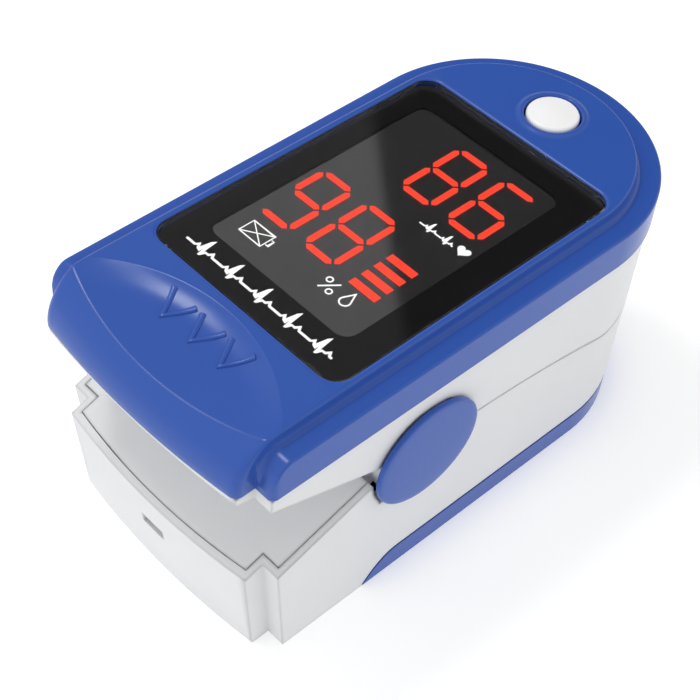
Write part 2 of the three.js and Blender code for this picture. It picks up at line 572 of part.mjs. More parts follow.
// Coil round the pin, with one leg under the upper roof and one leg against the barrel wall.
function torsionSpring(side) {
  const pitch = 2 * SPRING_WIRE + 0.15;
  const startX = side * (LUG_INNER_X - GAP - SPRING_WIRE);
  const stepsPerTurn = 12;
  const points = [new THREE.Vector3(startX, HINGE_Y - 2.8, HINGE_Z + 3.9)];
  for (let i = 0; i <= SPRING_TURNS * stepsPerTurn; i += 1) {
    const turn = i / stepsPerTurn;
    const angle = Math.PI / 2 - 2 * Math.PI * turn;
    points.push(new THREE.Vector3(startX - side * pitch * turn,
      HINGE_Y + SPRING_RADIUS * Math.cos(angle), HINGE_Z + SPRING_RADIUS * Math.sin(angle)));
  }
  points.push(new THREE.Vector3(startX - side * pitch * SPRING_TURNS, HINGE_Y - 3.9, HINGE_Z - 2.2));
  return tube(new THREE.CatmullRomCurve3(points), SPRING_WIRE, 60);
}

// ---- finger pads ----------------------------------------------------------------------
// The room for the pads: inside the housings' walls, and through the port in the rear wall.
function padRoom() {
  const inside = draftedBody(HOUSING_INSET + WALL + GAP, 0, 0, 0, HOUSING_TOP_Z);
  const mouth = draftedBody(HOUSING_INSET + PAD_REAR_MARGIN, 0, 0, 0, HOUSING_TOP_Z);
  return inside.add(portCutter(-GAP).intersect(mouth));
}

function padSlab(z0, z1) {
  return block(-PAD_HALF_WIDTH, PAD_HALF_WIDTH, CHANNEL_START_Y, REAR_Y, z0, z1).intersect(padRoom());
}

function sensorHole(z0, z1) {
  const halfWidth = WINDOW_WIDTH / 2 + GAP;
  const halfLength = WINDOW_LENGTH / 2 + GAP;
  return block(-halfWidth, halfWidth, SENSOR_Y - halfLength, SENSOR_Y + halfLength, z0, z1);
}

function lowerPad() {
  const slab = padSlab(PAD_SEAT_Z, PORT_Z - GAP);
  const channel = lengthwise(CHANNEL_RADIUS, 0, CHANNEL_FLOOR_Z + CHANNEL_RADIUS,
    CHANNEL_START_Y + 2, FAR, 32);
  return toGeometry(slab.subtract(channel).subtract(sensorHole(PAD_SEAT_Z - 1, CHANNEL_FLOOR_Z + 1)));
}

function upperPad() {
  const slab = padSlab(PORT_Z + GAP, PAD_ROOF_Z);
  const channel = lengthwise(CHANNEL_RADIUS, 0, CHANNEL_ROOF_Z - CHANNEL_RADIUS,
    CHANNEL_START_Y + 2, FAR, 32);
  return toGeometry(slab.subtract(channel).subtract(sensorHole(CHANNEL_ROOF_Z - 1, PAD_ROOF_Z + 1)));
}

function sensorPlate(z0, z1, width = WINDOW_WIDTH, length = WINDOW_LENGTH) {
  return toGeometry(block(-width / 2, width / 2, SENSOR_Y - length / 2, SENSOR_Y + length / 2, z0, z1));
}

// ---- battery bay ----------------------------------------------------------------------
function batteryCell(side) {
  const spacing = side * CELL_SPACING / 2;
  const body = CELL_LENGTH - CELL_NUB;
  // The left cell points to the rear and the right cell to the front, set forward by its spring.
  const rear = side < 0 ? CELL_REAR_Y - CELL_NUB : CELL_REAR_Y - REAR_SPRING_LENGTH - GAP;
  const can = lengthwise(CELL_RADIUS, spacing, CELL_Z, rear - body, rear, 16);
  const nubStart = side < 0 ? rear - 0.2 : rear - body - CELL_NUB;
  const nub = lengthwise(1.9, spacing, CELL_Z, nubStart, nubStart + CELL_NUB + 0.2, 8);
  return toGeometry(can.add(nub));
}

const REAR_SPRING_LENGTH = 1.0;
const FRONT_SPRING_LENGTH = 2.0;
const CONTACT_THICK = 0.4;

function contactSpring(x, y0, y1, turns) {
  const wire = 0.2;
  const points = [];
  const stepsPerTurn = 10;
  const count = Math.round(turns * stepsPerTurn);
  for (let i = 0; i <= count; i += 1) {
    const angle = (2 * Math.PI * i) / stepsPerTurn;
    const radius = 3.2 - 1.4 * (i / count);
    const y = y0 + wire + (y1 - y0 - 2 * wire) * (i / count);
    points.push(new THREE.Vector3(x + radius * Math.cos(angle), y, CELL_Z + radius * Math.sin(angle)));
  }
  return tube(new THREE.CatmullRomCurve3(points), wire, count * 2, 1.5);
}

const FRONT_CONTACT_Y = CELL_REAR_Y - CELL_LENGTH - GAP - FRONT_SPRING_LENGTH;
const POSITIVE_CONTACT_Y = CELL_REAR_Y - REAR_SPRING_LENGTH - GAP - CELL_LENGTH - GAP;

function contactPlate(x, halfWidth, yBack, halfHeight = 3.8) {
  return toGeometry(block(x - halfWidth, x + halfWidth, yBack - CONTACT_THICK, yBack,
    CELL_Z - halfHeight, CELL_Z + halfHeight));
}

function batteryFrame() {
  const inset = HOUSING_INSET + WALL + GAP + 0.1;
  const plate = draftedBody(inset, 0, 0, FRAME_Z, FRAME_Z + FRAME_THICK);
  const frontY = HINGE_Y + LUG_RADIUS + GAP;
  let frame = plate.intersect(block(-FAR, FAR, frontY, REAR_CENTRE_Y + FRAME_REAR_LENGTH, 0, FAR));
  for (const side of [-1, 1]) {
    for (const y of FRAME_SCREW_YS) {
      frame = frame.subtract(upright(SCREW_RADIUS + GAP, side * SCREW_X, y, 0, FAR));
    }
  }
  return toGeometry(frame.subtract(sensorHole(FRAME_Z - 1, FRAME_Z + 2)));
}

function batteryCover() {
  const tray = draftedBody(HOUSING_INSET, 0, 0, 0, COVER_LIP_Z).intersect(coverProfile(0));
  const pocket = draftedBody(HOUSING_INSET + WALL, 0, 0, COVER_PLATE, FAR);
  const tongue = block(-1.4, 1.4, COVER_FRONT_Y - 3, COVER_FRONT_Y + 3, WALL + GAP, WALL + GAP + 0.8);
  const tongueRoot = block(-1.4, 1.4, COVER_FRONT_Y + 2.2, COVER_FRONT_Y + 4, COVER_PLATE / 2,
    WALL + GAP + 0.8);
  return toGeometry(tray.subtract(pocket).add(tongue).add(tongueRoot));
}

// ---- electronics ----------------------------------------------------------------------
function mainBoard() {
  const rearY = REAR_CENTRE_Y + Math.sqrt((REAR_WIDTH / 2 - HOUSING_INSET - WALL - GAP) ** 2
    - BOARD_HALF_WIDTH ** 2) - 0.6;
  return toGeometry(block(-BOARD_HALF_WIDTH, BOARD_HALF_WIDTH, LENS_CENTRE_Y - LENS_LENGTH / 2,
    rearY, BOARD_Z, BOARD_TOP_Z));
}

function displayModule() {
  const halfWidth = SCREW_X - BOSS_RADIUS - GAP;
  const halfLength = LENS_LENGTH / 2 - 1.4;
  return toGeometry(block(-halfWidth, halfWidth, LENS_CENTRE_Y - halfLength, LENS_CENTRE_Y + halfLength,
    BOARD_TOP_Z + GAP, CAVITY_TOP_Z - GAP));
}

const SWITCH_HALF = 2.25;
const SWITCH_TOP_Z = BOARD_TOP_Z + GAP + 1.0;
const PLUNGER_RADIUS = 1.0;

function switchBody() {
  const can = block(-SWITCH_HALF, SWITCH_HALF, BUTTON_Y - SWITCH_HALF, BUTTON_Y + SWITCH_HALF,
    BOARD_TOP_Z + GAP, SWITCH_TOP_Z);
  return toGeometry(can.subtract(buttonBore(PLUNGER_RADIUS + GAP, BOARD_TOP_Z, SWITCH_TOP_Z + 1)));
}

function switchPlunger() {
  const bottom = BOARD_TOP_Z + BUTTON_TRAVEL + 0.1;
  return toGeometry(buttonBore(PLUNGER_RADIUS, bottom, FLANGE_TOP_Z - FLANGE_THICK - GAP));
}

// Ribbon from the detector under the frame, up past the hinge and on to the main board.
function ribbonCable() {
  const half = 0.2;
  const lowZ = FRAME_Z - GAP - half;
  const path = [
    [SENSOR_Y - WINDOW_LENGTH / 2 - 1, lowZ], [SLOT_Y + 2.4, lowZ], [SLOT_Y + 0.6, lowZ + 0.6],
    [SLOT_Y, lowZ + 2], [SLOT_Y, ROOF_Z - 1], [SLOT_Y, BOARD_Z - GAP],
  ];
  const normalAt = (i) => {
    const before = path[Math.max(i - 1, 0)];
    const after = path[Math.min(i + 1, path.length - 1)];
    const along = new THREE.Vector2(after[0] - before[0], after[1] - before[1]).normalize();
    return [-along.y * half, along.x * half];
  };
  const upper = path.map(([y, z], i) => [y + normalAt(i)[0], z + normalAt(i)[1]]);
  const lower = path.map(([y, z], i) => [y - normalAt(i)[0], z - normalAt(i)[1]]).reverse();
  const ribbon = polygon([...upper, ...lower]);
  return toGeometry(toSolid(runAcross(ribbon, -CABLE_HALF_WIDTH, CABLE_HALF_WIDTH)));
}

// ---- fasteners ------------------------------------------------------------------------
// Pan head screw with a cross recess. The head is at headZ and the shank runs on by length.
function screw(x, y, headZ, length) {
  const direction = Math.sign(length);
  const head = upright(SCREW_HEAD_RADIUS, x, y, Math.min(headZ, headZ + direction * SCREW_HEAD),
    Math.max(headZ, headZ + direction * SCREW_HEAD), 8);
  const shank = upright(SCREW_RADIUS, x, y, Math.min(headZ + 0.1 * direction, headZ + length),
    Math.max(headZ + 0.1 * direction, headZ + length), 5);
  const low = Math.min(headZ - direction, headZ + direction * 0.4);
  const high = Math.max(headZ - direction, headZ + direction * 0.4);
  const slotA = block(x - 0.7, x + 0.7, y - 0.14, y + 0.14, low, high);
  const slotB = block(x - 0.14, x + 0.14, y - 0.7, y + 0.7, low, high);
  return toGeometry(head.add(shank).subtract(slotA).subtract(slotB));
}

// ---- assembly -------------------------------------------------------------------------
const finish = (color, roughness, metalness = 0) =>
  new THREE.MeshStandardMaterial({ color, roughness, metalness });
const bluePlastic = () => finish(0x3656a7, 0.38);
const whitePlastic = () => finish(0xf2f2f2, 0.35);
const silicone = () => finish(0xdfe3e6, 0.6);
const steel = () => finish(0xb9bcc0, 0.3, 1);
const nickel = () => finish(0xc9c6bd, 0.25, 1);
const board = () => finish(0x1d5a37, 0.5);
const blackPlastic = () => finish(0x151516, 0.4);

const oximeter = new THREE.Group();
function place(name, geometry, material) {
  const mesh = new THREE.Mesh(geometry, material);
  mesh.name = name;
  oximeter.add(mesh);
}

place('top_cover', topCover(), bluePlastic());
place('display_lens', displayLens(), finish(0x141214, 0.08));
place('display_module', displayModule(), blackPlastic());
place('main_board', mainBoard(), board());
place('power_button', powerButton(), finish(0xfafafa, 0.3));
place('switch_plunger', switchPlunger(), blackPlastic());
place('switch_body', switchBody(), nickel());
place('upper_housing', upperHousing(), whitePlastic());
place('upper_finger_pad', upperPad(), silicone());
place('emitter_window', sensorPlate(CHANNEL_ROOF_Z, CHANNEL_ROOF_Z + 0.6), finish(0xcfe0e8, 0.1));
place('led_emitter', sensorPlate(ROOF_Z - 0.4, ROOF_Z + 1.2, 4, 5), finish(0xe9e4d2, 0.4));
place('lower_housing', lowerHousing(), whitePlastic());
place('lower_deck', lowerDeck(), whitePlastic());
place('battery_frame', batteryFrame(), whitePlastic());
place('lower_finger_pad', lowerPad(), silicone());
place('detector_window', sensorPlate(CHANNEL_FLOOR_Z - 0.6, CHANNEL_FLOOR_Z), finish(0xcfe0e8, 0.1));
place('photodiode', sensorPlate(PAD_SEAT_Z - 0.1, PAD_SEAT_Z + 0.3, 3, 3), blackPlastic());
place('detector_board', sensorPlate(FRAME_Z + 0.1, PAD_SEAT_Z - 0.4), board());
place('battery_cover', batteryCover(), bluePlastic());
place('battery_left', batteryCell(-1), finish(0x2d7f54, 0.3, 0.4));
place('battery_right', batteryCell(1), finish(0x2d7f54, 0.3, 0.4));
const cellX = CELL_SPACING / 2;
place('contact_spring_front', contactSpring(-cellX, FRONT_CONTACT_Y, FRONT_CONTACT_Y + FRONT_SPRING_LENGTH, 2.5),
  nickel());
place('contact_spring_rear', contactSpring(cellX, CELL_REAR_Y - REAR_SPRING_LENGTH, CELL_REAR_Y, 1.5), nickel());
place('negative_contact', contactPlate(-cellX, 4, FRONT_CONTACT_Y - GAP), nickel());
place('positive_contact', contactPlate(cellX, 4, POSITIVE_CONTACT_Y, 3.4), nickel());
place('bridge_contact', contactPlate(0, cellX + 4, CELL_REAR_Y + GAP + CONTACT_THICK), nickel());
place('ribbon_cable', ribbonCable(), finish(0xb5702a, 0.4));
for (const [label, side] of [['left', -1], ['right', 1]]) {
  place(`hinge_pin_${label}`, hingePin(side), steel());
  place(`hinge_cap_${label}`, hingeCap(side), bluePlastic());
  place(`torsion_spring_${label}`, torsionSpring(side), steel());
  FRAME_SCREW_YS.forEach((y, i) => {
    const name = `frame_screw_${['front', 'rear'][i]}_${label}`;
    place(name, screw(side * SCREW_X, y, FRAME_SCREW_HEAD_Z, -FRAME_SCREW_LENGTH), steel());
  });
  COVER_SCREW_YS.forEach((y, i) => {
    const name = `cover_screw_${['front', 'rear'][i]}_${label}`;
    place(name, screw(side * SCREW_X, y, ROOF_Z - GAP - SCREW_HEAD, 5.4), steel());
  });
}

export default oximeter;
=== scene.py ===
"""Looks of the fingertip pulse oximeter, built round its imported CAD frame.

Lengths in the shape functions are millimetres; mesh_data turns them into metres.
"""

import math

import bmesh
import bpy
from mathutils import Matrix, Vector
from mathutils.geometry import tessellate_polygon


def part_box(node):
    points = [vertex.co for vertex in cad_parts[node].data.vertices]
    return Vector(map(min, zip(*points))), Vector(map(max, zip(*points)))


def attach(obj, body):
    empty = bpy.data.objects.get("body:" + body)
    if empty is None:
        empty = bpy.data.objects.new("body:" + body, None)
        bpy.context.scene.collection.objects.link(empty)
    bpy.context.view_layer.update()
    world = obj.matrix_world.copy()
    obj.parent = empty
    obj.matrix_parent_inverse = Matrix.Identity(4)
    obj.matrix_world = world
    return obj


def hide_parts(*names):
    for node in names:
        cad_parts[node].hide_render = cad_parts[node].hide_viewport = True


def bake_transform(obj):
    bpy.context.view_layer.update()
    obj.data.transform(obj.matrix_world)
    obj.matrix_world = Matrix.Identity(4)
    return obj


MM = 0.001
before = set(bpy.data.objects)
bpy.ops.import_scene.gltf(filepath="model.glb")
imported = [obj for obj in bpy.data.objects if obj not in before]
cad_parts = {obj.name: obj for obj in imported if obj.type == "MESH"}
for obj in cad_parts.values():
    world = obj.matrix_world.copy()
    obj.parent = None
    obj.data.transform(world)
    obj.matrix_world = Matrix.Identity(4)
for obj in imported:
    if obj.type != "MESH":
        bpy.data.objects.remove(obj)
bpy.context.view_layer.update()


# ---- shader building ------------------------------------------------------------------
class Wire:
    """An output socket that Python arithmetic can be done on."""

    def __init__(self, shader, socket):
        self.shader = shader
        self.socket = socket

    def _maths(self, operation, *values):
        return self.shader.add("ShaderNodeMath", {"operation": operation}, dict(enumerate(values)))

    def __add__(self, other):
        return self._maths("ADD", self, other)

    __radd__ = __add__

    def __sub__(self, other):
        return self._maths("SUBTRACT", self, other)

    def __rsub__(self, other):
        return self._maths("SUBTRACT", other, self)

    def __mul__(self, other):
        return self._maths("MULTIPLY", self, other)

    __rmul__ = __mul__

    def sine(self):
        return self._maths("SINE", self)

    def step(self, low, high):
        """0 below low, 1 above high, smooth between."""
        values = {"Value": self, "From Min": low, "From Max": high}
        return self.shader.add("ShaderNodeMapRange", {"interpolation_type": "SMOOTHSTEP"}, values)


class Shader:
    """A material and the nodes in it."""

    def __init__(self, name):
        self.material = bpy.data.materials.new(name)
        self.material.use_nodes = True
        self.tree = self.material.node_tree
        self.tree.nodes.clear()
        self.output = self.tree.nodes.new("ShaderNodeOutputMaterial")

    def add(self, kind, settings=None, values=None, out=0):
        """Add a node with its settings and the values or links of its sockets; gives one output."""
        node = self.tree.nodes.new(kind)
        for key, value in (settings or {}).items():
            setattr(node, key, value)
        for key, value in (values or {}).items():
            socket = node.inputs[key]
            if isinstance(value, Wire):
                self.tree.links.new(value.socket, socket)
            else:
                socket.default_value = value
        return Wire(self, node.outputs[out])

    def place(self):
        return self.add("ShaderNodeTexCoord", out="Object")

    def noise(self, scale, detail=3.0):
        """Noise with about scale blotches to the millimetre."""
        values = {"Vector": self.place(), "Scale": scale / MM, "Detail": detail, "Roughness": 0.55}
        return self.add("ShaderNodeTexNoise", None, values, "Fac")

    def mix(self, factor, a, b):
        """Colour a where the factor is 0 and colour b where it is 1."""
        return self.add("ShaderNodeMix", {"data_type": "RGBA"}, {0: factor, 6: a, 7: b}, out=2)

    def bump(self, strength, distance, height, normal=None):
        """A bump some millimetres high, on a rounded normal if one is given."""
        values = {"Strength": strength, "Distance": distance * MM, "Height": height}
        if normal:
            values["Normal"] = normal
        return self.add("ShaderNodeBump", None, values)

    def edges(self, radius):
        """0 on flat faces, up to 1 along edges, from the turn of a rounded normal."""
        rounded = self.add("ShaderNodeBevel", {"samples": 6}, {"Radius": radius * MM})
        true = self.add("ShaderNodeNewGeometry", out="Normal")
        settings = {"operation": "DOT_PRODUCT"}
        same = self.add("ShaderNodeVectorMath", settings, {0: rounded, 1: true}, "Value")
        return rounded, (1 - same).step(0.01, 0.3)

    def finish(self, values):
        """End in one surface with the given values; gives the material."""
        surface = self.add("ShaderNodeBsdfPrincipled", None, values)
        self.tree.links.new(surface.socket, self.output.inputs["Surface"])
        return self.material


def colour(red, green, blue):
    """A linear colour from 0-255 display values."""
    def linear(value):
        value /= 255
        return value / 12.92 if value <= 0.04045 else ((value + 0.055) / 1.055) ** 2.4
    return (linear(red), linear(green), linear(blue), 1.0)


def tint(shade, factor):
    """The shade made brighter or darker by a factor."""
    return tuple(min(1.0, channel * factor) for channel in shade[:3]) + (1.0,)


def moulded(name, shade, rough, grain, wear=0.12, rounding=0.15, gloss=0.5, subsurface=0.0):
    """Injection-moulded plastic: fine spark grain, faint flow tone, paler rubbed edges."""
    s = Shader(name)
    flow = s.noise(0.12, 2.0)
    speck = s.noise(9.0, 2.0)
    rounded, edge = s.edges(rounding)
    rubbed = edge * s.noise(0.9, 4.0).step(0.42, 0.75) * wear
    base = s.mix(flow, tint(shade, 0.965), tint(shade, 1.035))
    base = s.mix(speck * 0.05, base, tint(shade, 0.8))
    base = s.mix(rubbed, base, tint(shade, 1.6))
    smear = s.noise(0.25, 3.0)
    values = {"Base Color": base, "Roughness": rough + smear * 0.08 - 0.04 + rubbed * 0.5,
              "Normal": s.bump(0.35, grain, speck + flow, rounded), "Specular IOR Level": gloss}
    if subsurface:
        values.update({"Subsurface Weight": subsurface, "Subsurface Radius": (0.6, 0.5, 0.45),
                       "Subsurface Scale": 0.6 * MM})
    return s.finish(values)


def brushed_metal(name, shade, rough):
    """Plated or drawn metal with fine lines and a little tarnish."""
    s = Shader(name)
    stretched = s.add("ShaderNodeMapping", None, {"Vector": s.place(), "Scale": (1.0, 1.0, 9.0)})
    drawn = s.add("ShaderNodeTexNoise", None, {"Vector": stretched, "Scale": 2.0 / MM, "Detail": 3.0})
    cloud = s.noise(0.35, 4.0)
    rounded, edge = s.edges(0.06)
    base = s.mix(cloud.step(0.45, 0.75) * 0.25, shade, tint(shade, 0.6))
    base = s.mix(edge * 0.3, base, tint(shade, 1.25))
    values = {"Base Color": base, "Metallic": 1.0, "Roughness": rough + drawn * 0.12 + cloud * 0.1,
              "Normal": s.bump(0.3, 0.01, drawn, rounded)}
    return s.finish(values)


def glowing(name, shade, strength):
    """A glowing element with a faint mottle: the lit display segments, and the white print marks, whose
    glow is painted light.
    """
    s = Shader(name)
    mottle = s.noise(1.1, 2.0)
    glow = s.mix(mottle, tint(shade, 0.8), tint(shade, 1.12))
    values = {"Base Color": tint(shade, 0.35), "Roughness": 0.5, "Emission Color": glow,
              "Emission Strength": strength}
    return s.finish(values)


BLUE = colour(49, 87, 173)
WHITE = colour(225, 226, 228)

BLUE_PLASTIC = moulded("blue_plastic", BLUE, rough=0.23, grain=0.008, wear=0.12, rounding=0.08, gloss=0.3)
WHITE_PLASTIC = moulded("white_plastic", WHITE, rough=0.42, grain=0.012, wear=0.05,
                        rounding=0.55, gloss=0.4)
BUTTON_PLASTIC = moulded("button_plastic", colour(252, 252, 252), rough=0.3, grain=0.01, wear=0.05)


# ---- piece building -------------------------------------------------------------------
def span(node):
    """Lowest and highest corner of a CAD node in millimetres."""
    low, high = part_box(node)
    return [value / MM for value in low], [value / MM for value in high]


def middle(node):
    """Centre of a CAD node in millimetres."""
    return [(low + high) / 2 for low, high in zip(*span(node))]


def lerp(a, b, t):
    """The value a share t of the way from a to b."""
    return a + (b - a) * t


def smooth(t):
    """0 below 0, 1 above 1, smooth between."""
    t = max(0.0, min(1.0, t))
    return t * t * (3 - 2 * t)


def new_object(name, data):
    """An object in the scene that holds the given mesh, lamp or camera."""
    obj = bpy.data.objects.new(name, data)
    bpy.context.scene.collection.objects.link(obj)
    return obj


def mesh_data(name, mesh):
    """Turn a bmesh in millimetres into a mesh in metres."""
    data = bpy.data.meshes.new(name)
    mesh.to_mesh(data)
    mesh.free()
    data.transform(Matrix.Scale(MM, 4))
    return data


def modified_mesh(obj):
    """The plain mesh that an object's modifiers make."""
    bpy.context.view_layer.update()
    return bpy.data.meshes.new_from_object(obj.evaluated_get(bpy.context.evaluated_depsgraph_get()))


def piece(name, mesh, material, body, replaced=(), sharp=38, weighted=True):
    """Turn a bmesh in millimetres into a finished piece.

    It rides on its body when it has one, and stands for the replaced nodes.
    """
    bmesh.ops.remove_doubles(mesh, verts=mesh.verts, dist=0.0005)
    bmesh.ops.recalc_face_normals(mesh, faces=mesh.faces)
    data = mesh_data(name, mesh)
    data.materials.append(material)
    data.shade_smooth()
    data.set_sharp_from_angle(angle=math.radians(sharp))
    obj = new_object(name, data)
    if weighted:
        obj.modifiers.new("normals", "WEIGHTED_NORMAL").keep_sharp = True
        obj.data = modified_mesh(obj)
        obj.modifiers.clear()
    if body:
        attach(obj, body)
    if replaced:
        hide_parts(*replaced)
    return obj


def add_loops(mesh, loops, closed=True):
    """Skin rows of points of equal length with quads; returns the rows of vertices."""
    rows = [[mesh.verts.new(point) for point in loop] for loop in loops]
    for lower, upper in zip(rows, rows[1:]):
        count = len(lower)
        for i in range(count if closed else count - 1):
            j = (i + 1) % count
            mesh.faces.new((lower[i], lower[j], upper[j], upper[i]))
    return rows


def add_cap(mesh, loops):
    """Fill flat loops of points: the first is the outside and the others are holes."""
    vectors = [[Vector(point) for point in loop] for loop in loops]
    flat = [[Vector((point.x, point.y, 0)) for point in loop] for loop in vectors]
    points = [mesh.verts.new(point) for loop in vectors for point in loop]
    for triangle in tessellate_polygon(flat):
        mesh.faces.new([points[i] for i in triangle])


def add_closed(mesh, loops):
    """Skin loops with quads and close both ends with one face each."""
    rows = add_loops(mesh, loops)
    mesh.faces.new(rows[0])
    mesh.faces.new(rows[-1])


def add_capped(mesh, loops):
    """Skin level loops with quads and fill both ends with triangles."""
    add_loops(mesh, loops)
    add_cap(mesh, [loops[0]])
    add_cap(mesh, [loops[-1]])


def arc_points(x, y, radius, start, end, count):
    """Points on an arc in plan, angles in degrees, both ends included."""
    points = []
    for i in range(count):
        angle = math.radians(lerp(start, end, i / (count - 1)))
        points.append((x + radius * math.cos(angle), y + radius * math.sin(angle)))
    return points


def rounded_rectangle(x0, x1, y0, y1, radius, count=7):
    """Plan outline of a plate with rounded corners, anticlockwise from its +x side."""
    points = arc_points(x1 - radius, y1 - radius, radius, 0, 90, count)
    points += arc_points(x0 + radius, y1 - radius, radius, 90, 180, count)
    points += arc_points(x0 + radius, y0 + radius, radius, 180, 270, count)
    points += arc_points(x1 - radius, y0 + radius, radius, 270, 360, count)
    return points


def at(points, z):
    """Plan points lifted to a height."""
    return [(x, y, z) for x, y in points]


# ---- top cover ------------------------------------------------------------------------
COVER_LOW, COVER_HIGH = span("top_cover")
REAR_RADIUS = COVER_HIGH[0]
REAR_CENTRE = COVER_HIGH[1] - REAR_RADIUS
NOSE_Y = COVER_LOW[1]
SEAM_Z = COVER_LOW[2]
PANEL_Z = COVER_HIGH[2]
FRONT_HALF = REAR_RADIUS - 0.25
NOSE_HALF = FRONT_HALF - 2.1
NOTCH_Y = NOSE_Y + 3.0
PANEL_HALF = 13.25
PANEL_CENTRE = REAR_CENTRE - 0.45
LEDGE_Z = 28.9
SCOOP_RADIUS = 19.0
SCOOP_CENTRE = NOSE_Y + 11.2 - SCOOP_RADIUS
SCOOP_DEPTH = 0.85
FLAT_START = NOSE_Y + 11.8
EDGE_DROP = 0.16
CORNER = 0.7  # radius of the front corners in plan
NOSE_ROLL = (0.08, 0.62)  # middle control point of the nose's roll, in shares of its depth and height
CREASE_EASE = 0.17
RIM_EASE = 0.08
CEILING_Z = 28.0
LENS_SEAT_Z = 29.1
INNER_WALL = 1.4
RING_RADIUS = 3.85
LENS_LOW, LENS_HIGH = span("display_lens")
BUTTON_LOW, BUTTON_HIGH = span("power_button")
BUTTON_Y = (BUTTON_LOW[1] + BUTTON_HIGH[1]) / 2


def nose_edge(x):
    """Front edge of the nose block, bowed, with rounded corners."""
    corner = max(0.0, abs(x) - (PANEL_HALF - CORNER))
    turn = CORNER - math.sqrt(max(0.0, CORNER ** 2 - corner * corner))
    return NOSE_Y + 0.9 * (x / NOSE_HALF) ** 2 + turn


def crease(x):
    """Where the nose's roll ends and the thumb pad begins."""
    return NOSE_Y + 2.1 + 0.0125 * x * x


def scoop_rim(x):
    """Rear edge of the thumb scoop."""
    return SCOOP_CENTRE + math.sqrt(SCOOP_RADIUS ** 2 - x * x)


def scoop_top(x, y):
    """Height of the raised block behind the crease, with the thumb scoop sunk into it."""
    inward = SCOOP_RADIUS - math.hypot(x, y - SCOOP_CENTRE)
    if inward <= 0:
        return PANEL_Z
    depth = SCOOP_DEPTH * (1 - min(1.0, abs(x) / 13.6) ** 3)
    cove = 1 - (1 - min(1.0, inward / 3.4)) ** 2.3
    return PANEL_Z - depth * cove - 0.055 * inward


def block_top(x, y):
    """Height of the raised block anywhere, with the nose rolled down in front of its crease."""
    front, back = nose_edge(x), crease(x)
    if y >= back:
        return scoop_top(x, y)
    u = max(0.0, (y - front) / (back - front))
    lead = 2 * NOSE_ROLL[0]
    t = (math.sqrt(lead ** 2 + 4 * (1 - lead) * u) - lead) / (2 * (1 - lead))
    share = 2 * t * (1 - t) * NOSE_ROLL[1] + t * t
    low = SEAM_Z + 0.45
    return low + (scoop_top(x, back) - low) * share


def rail_top(y):
    """Height of the ledge beside the block, rolled down at its front end."""
    reach = 2.3
    u = (y - NOTCH_Y) / reach
    if u >= 1:
        return LEDGE_Z
    low = SEAM_Z + 0.5
    return low + (LEDGE_Z - low) * (1 - (1 - max(0.0, u)) ** 2.2) ** 0.62


def block_rows():
    """Rows across the nose, pad and scoop, each given as (row number -> y at x)."""
    rows = []
    for i in range(15):
        u = (i / 14) ** 1.7
        rows.append(lambda x, u=u: lerp(nose_edge(x), crease(x) - CREASE_EASE, u))
    for i in range(1, 3):
        rows.append(lambda x, i=i: crease(x) - CREASE_EASE + CREASE_EASE * i)
    for i in range(1, 25):
        rows.append(lambda x, t=i / 25: lerp(crease(x) + CREASE_EASE, scoop_rim(x) - RIM_EASE, t))
    for ease in (-RIM_EASE, 0.0, RIM_EASE):
        rows.append(lambda x, ease=ease: scoop_rim(x) + ease)
    for i in range(1, 6):
        rows.append(lambda x, t=i / 5: lerp(scoop_rim(x) + RIM_EASE, FLAT_START, t))
    return rows


EDGE_OFFSETS = [(0.0, EDGE_DROP), (0.05, 0.07), (0.13, 0.02), (0.24, 0.0)]


def block_columns():
    """Places across the block with the drop of its eased edges, from right to left."""
    sides = [(PANEL_HALF - offset, drop) for offset, drop in EDGE_OFFSETS]
    inner = PANEL_HALF - EDGE_OFFSETS[-1][0]
    middle = [(lerp(inner, -inner, i / 72), 0.0) for i in range(1, 72)]
    return sides + middle + [(-x, drop) for x, drop in reversed(sides)]


def panel_edge(offset):
    """The raised panel's edge behind the scoop: right side, round the rear, left side."""
    half = PANEL_HALF - offset
    count = 30
    right = [(half, lerp(FLAT_START, PANEL_CENTRE, i / count)) for i in range(count)]
    rear = arc_points(0, PANEL_CENTRE, half, 0, 180, 97)
    left = [(-x, y) for x, y in reversed(right)]
    return right + rear + left


def ledge_station(x, y, outer):
    """Cross-section from the seam up the wall, over the ledge and up the fillet to the block."""
    ox, oy = outer
    high = block_top(x, y) if y < FLAT_START else PANEL_Z
    ledge = min(rail_top(oy), high)
    width = math.hypot(ox - x, oy - y)
    foot = 0.62 / width
    points = [(ox, oy, SEAM_Z), (ox, oy, SEAM_Z + 0.12)]
    points += [(ox, oy, lerp(SEAM_Z + 0.3, ledge - 0.3, i / 3)) for i in range(4)]
    for inset, drop in ((0.0, 0.2), (0.05, 0.09), (0.14, 0.02), (0.28, 0.0)):
        t = inset / width
        points.append((lerp(ox, x, t), lerp(oy, y, t), ledge - drop))
    points += [(lerp(ox, x, t), lerp(oy, y, t), ledge) for t in (0.3, 0.5, 1 - foot)]
    top = high - EDGE_DROP
    for i in range(1, 8):
        turn = math.pi / 2 * i / 8
        t = 1 - foot * (1 - math.sin(turn)) * 0.9 - foot * 0.1 * (1 - i / 8)
        points.append((lerp(ox, x, t), lerp(oy, y, t), ledge + (top - ledge) * (1 - math.cos(turn))))
    points.append((x, y, top))
    return points


def wall_station(x, y, top):
    """The same number of points standing straight up, where there is no ledge."""
    heights = [SEAM_Z, SEAM_Z + 0.12] + [lerp(SEAM_Z + 0.12, top, i / 18) for i in range(1, 19)]
    return [(x, y, z) for z in heights] + [(x, y, top)]


def ledge_outer(y):
    """Half width of the skirt beside the block, rounded at its front corner."""
    half = lerp(FRONT_HALF, REAR_RADIUS, (y - NOTCH_Y) / (REAR_CENTRE - NOTCH_Y))
    corner = max(0.0, NOTCH_Y + CORNER - y)
    return half - CORNER + math.sqrt(max(0.0, CORNER ** 2 - corner * corner))


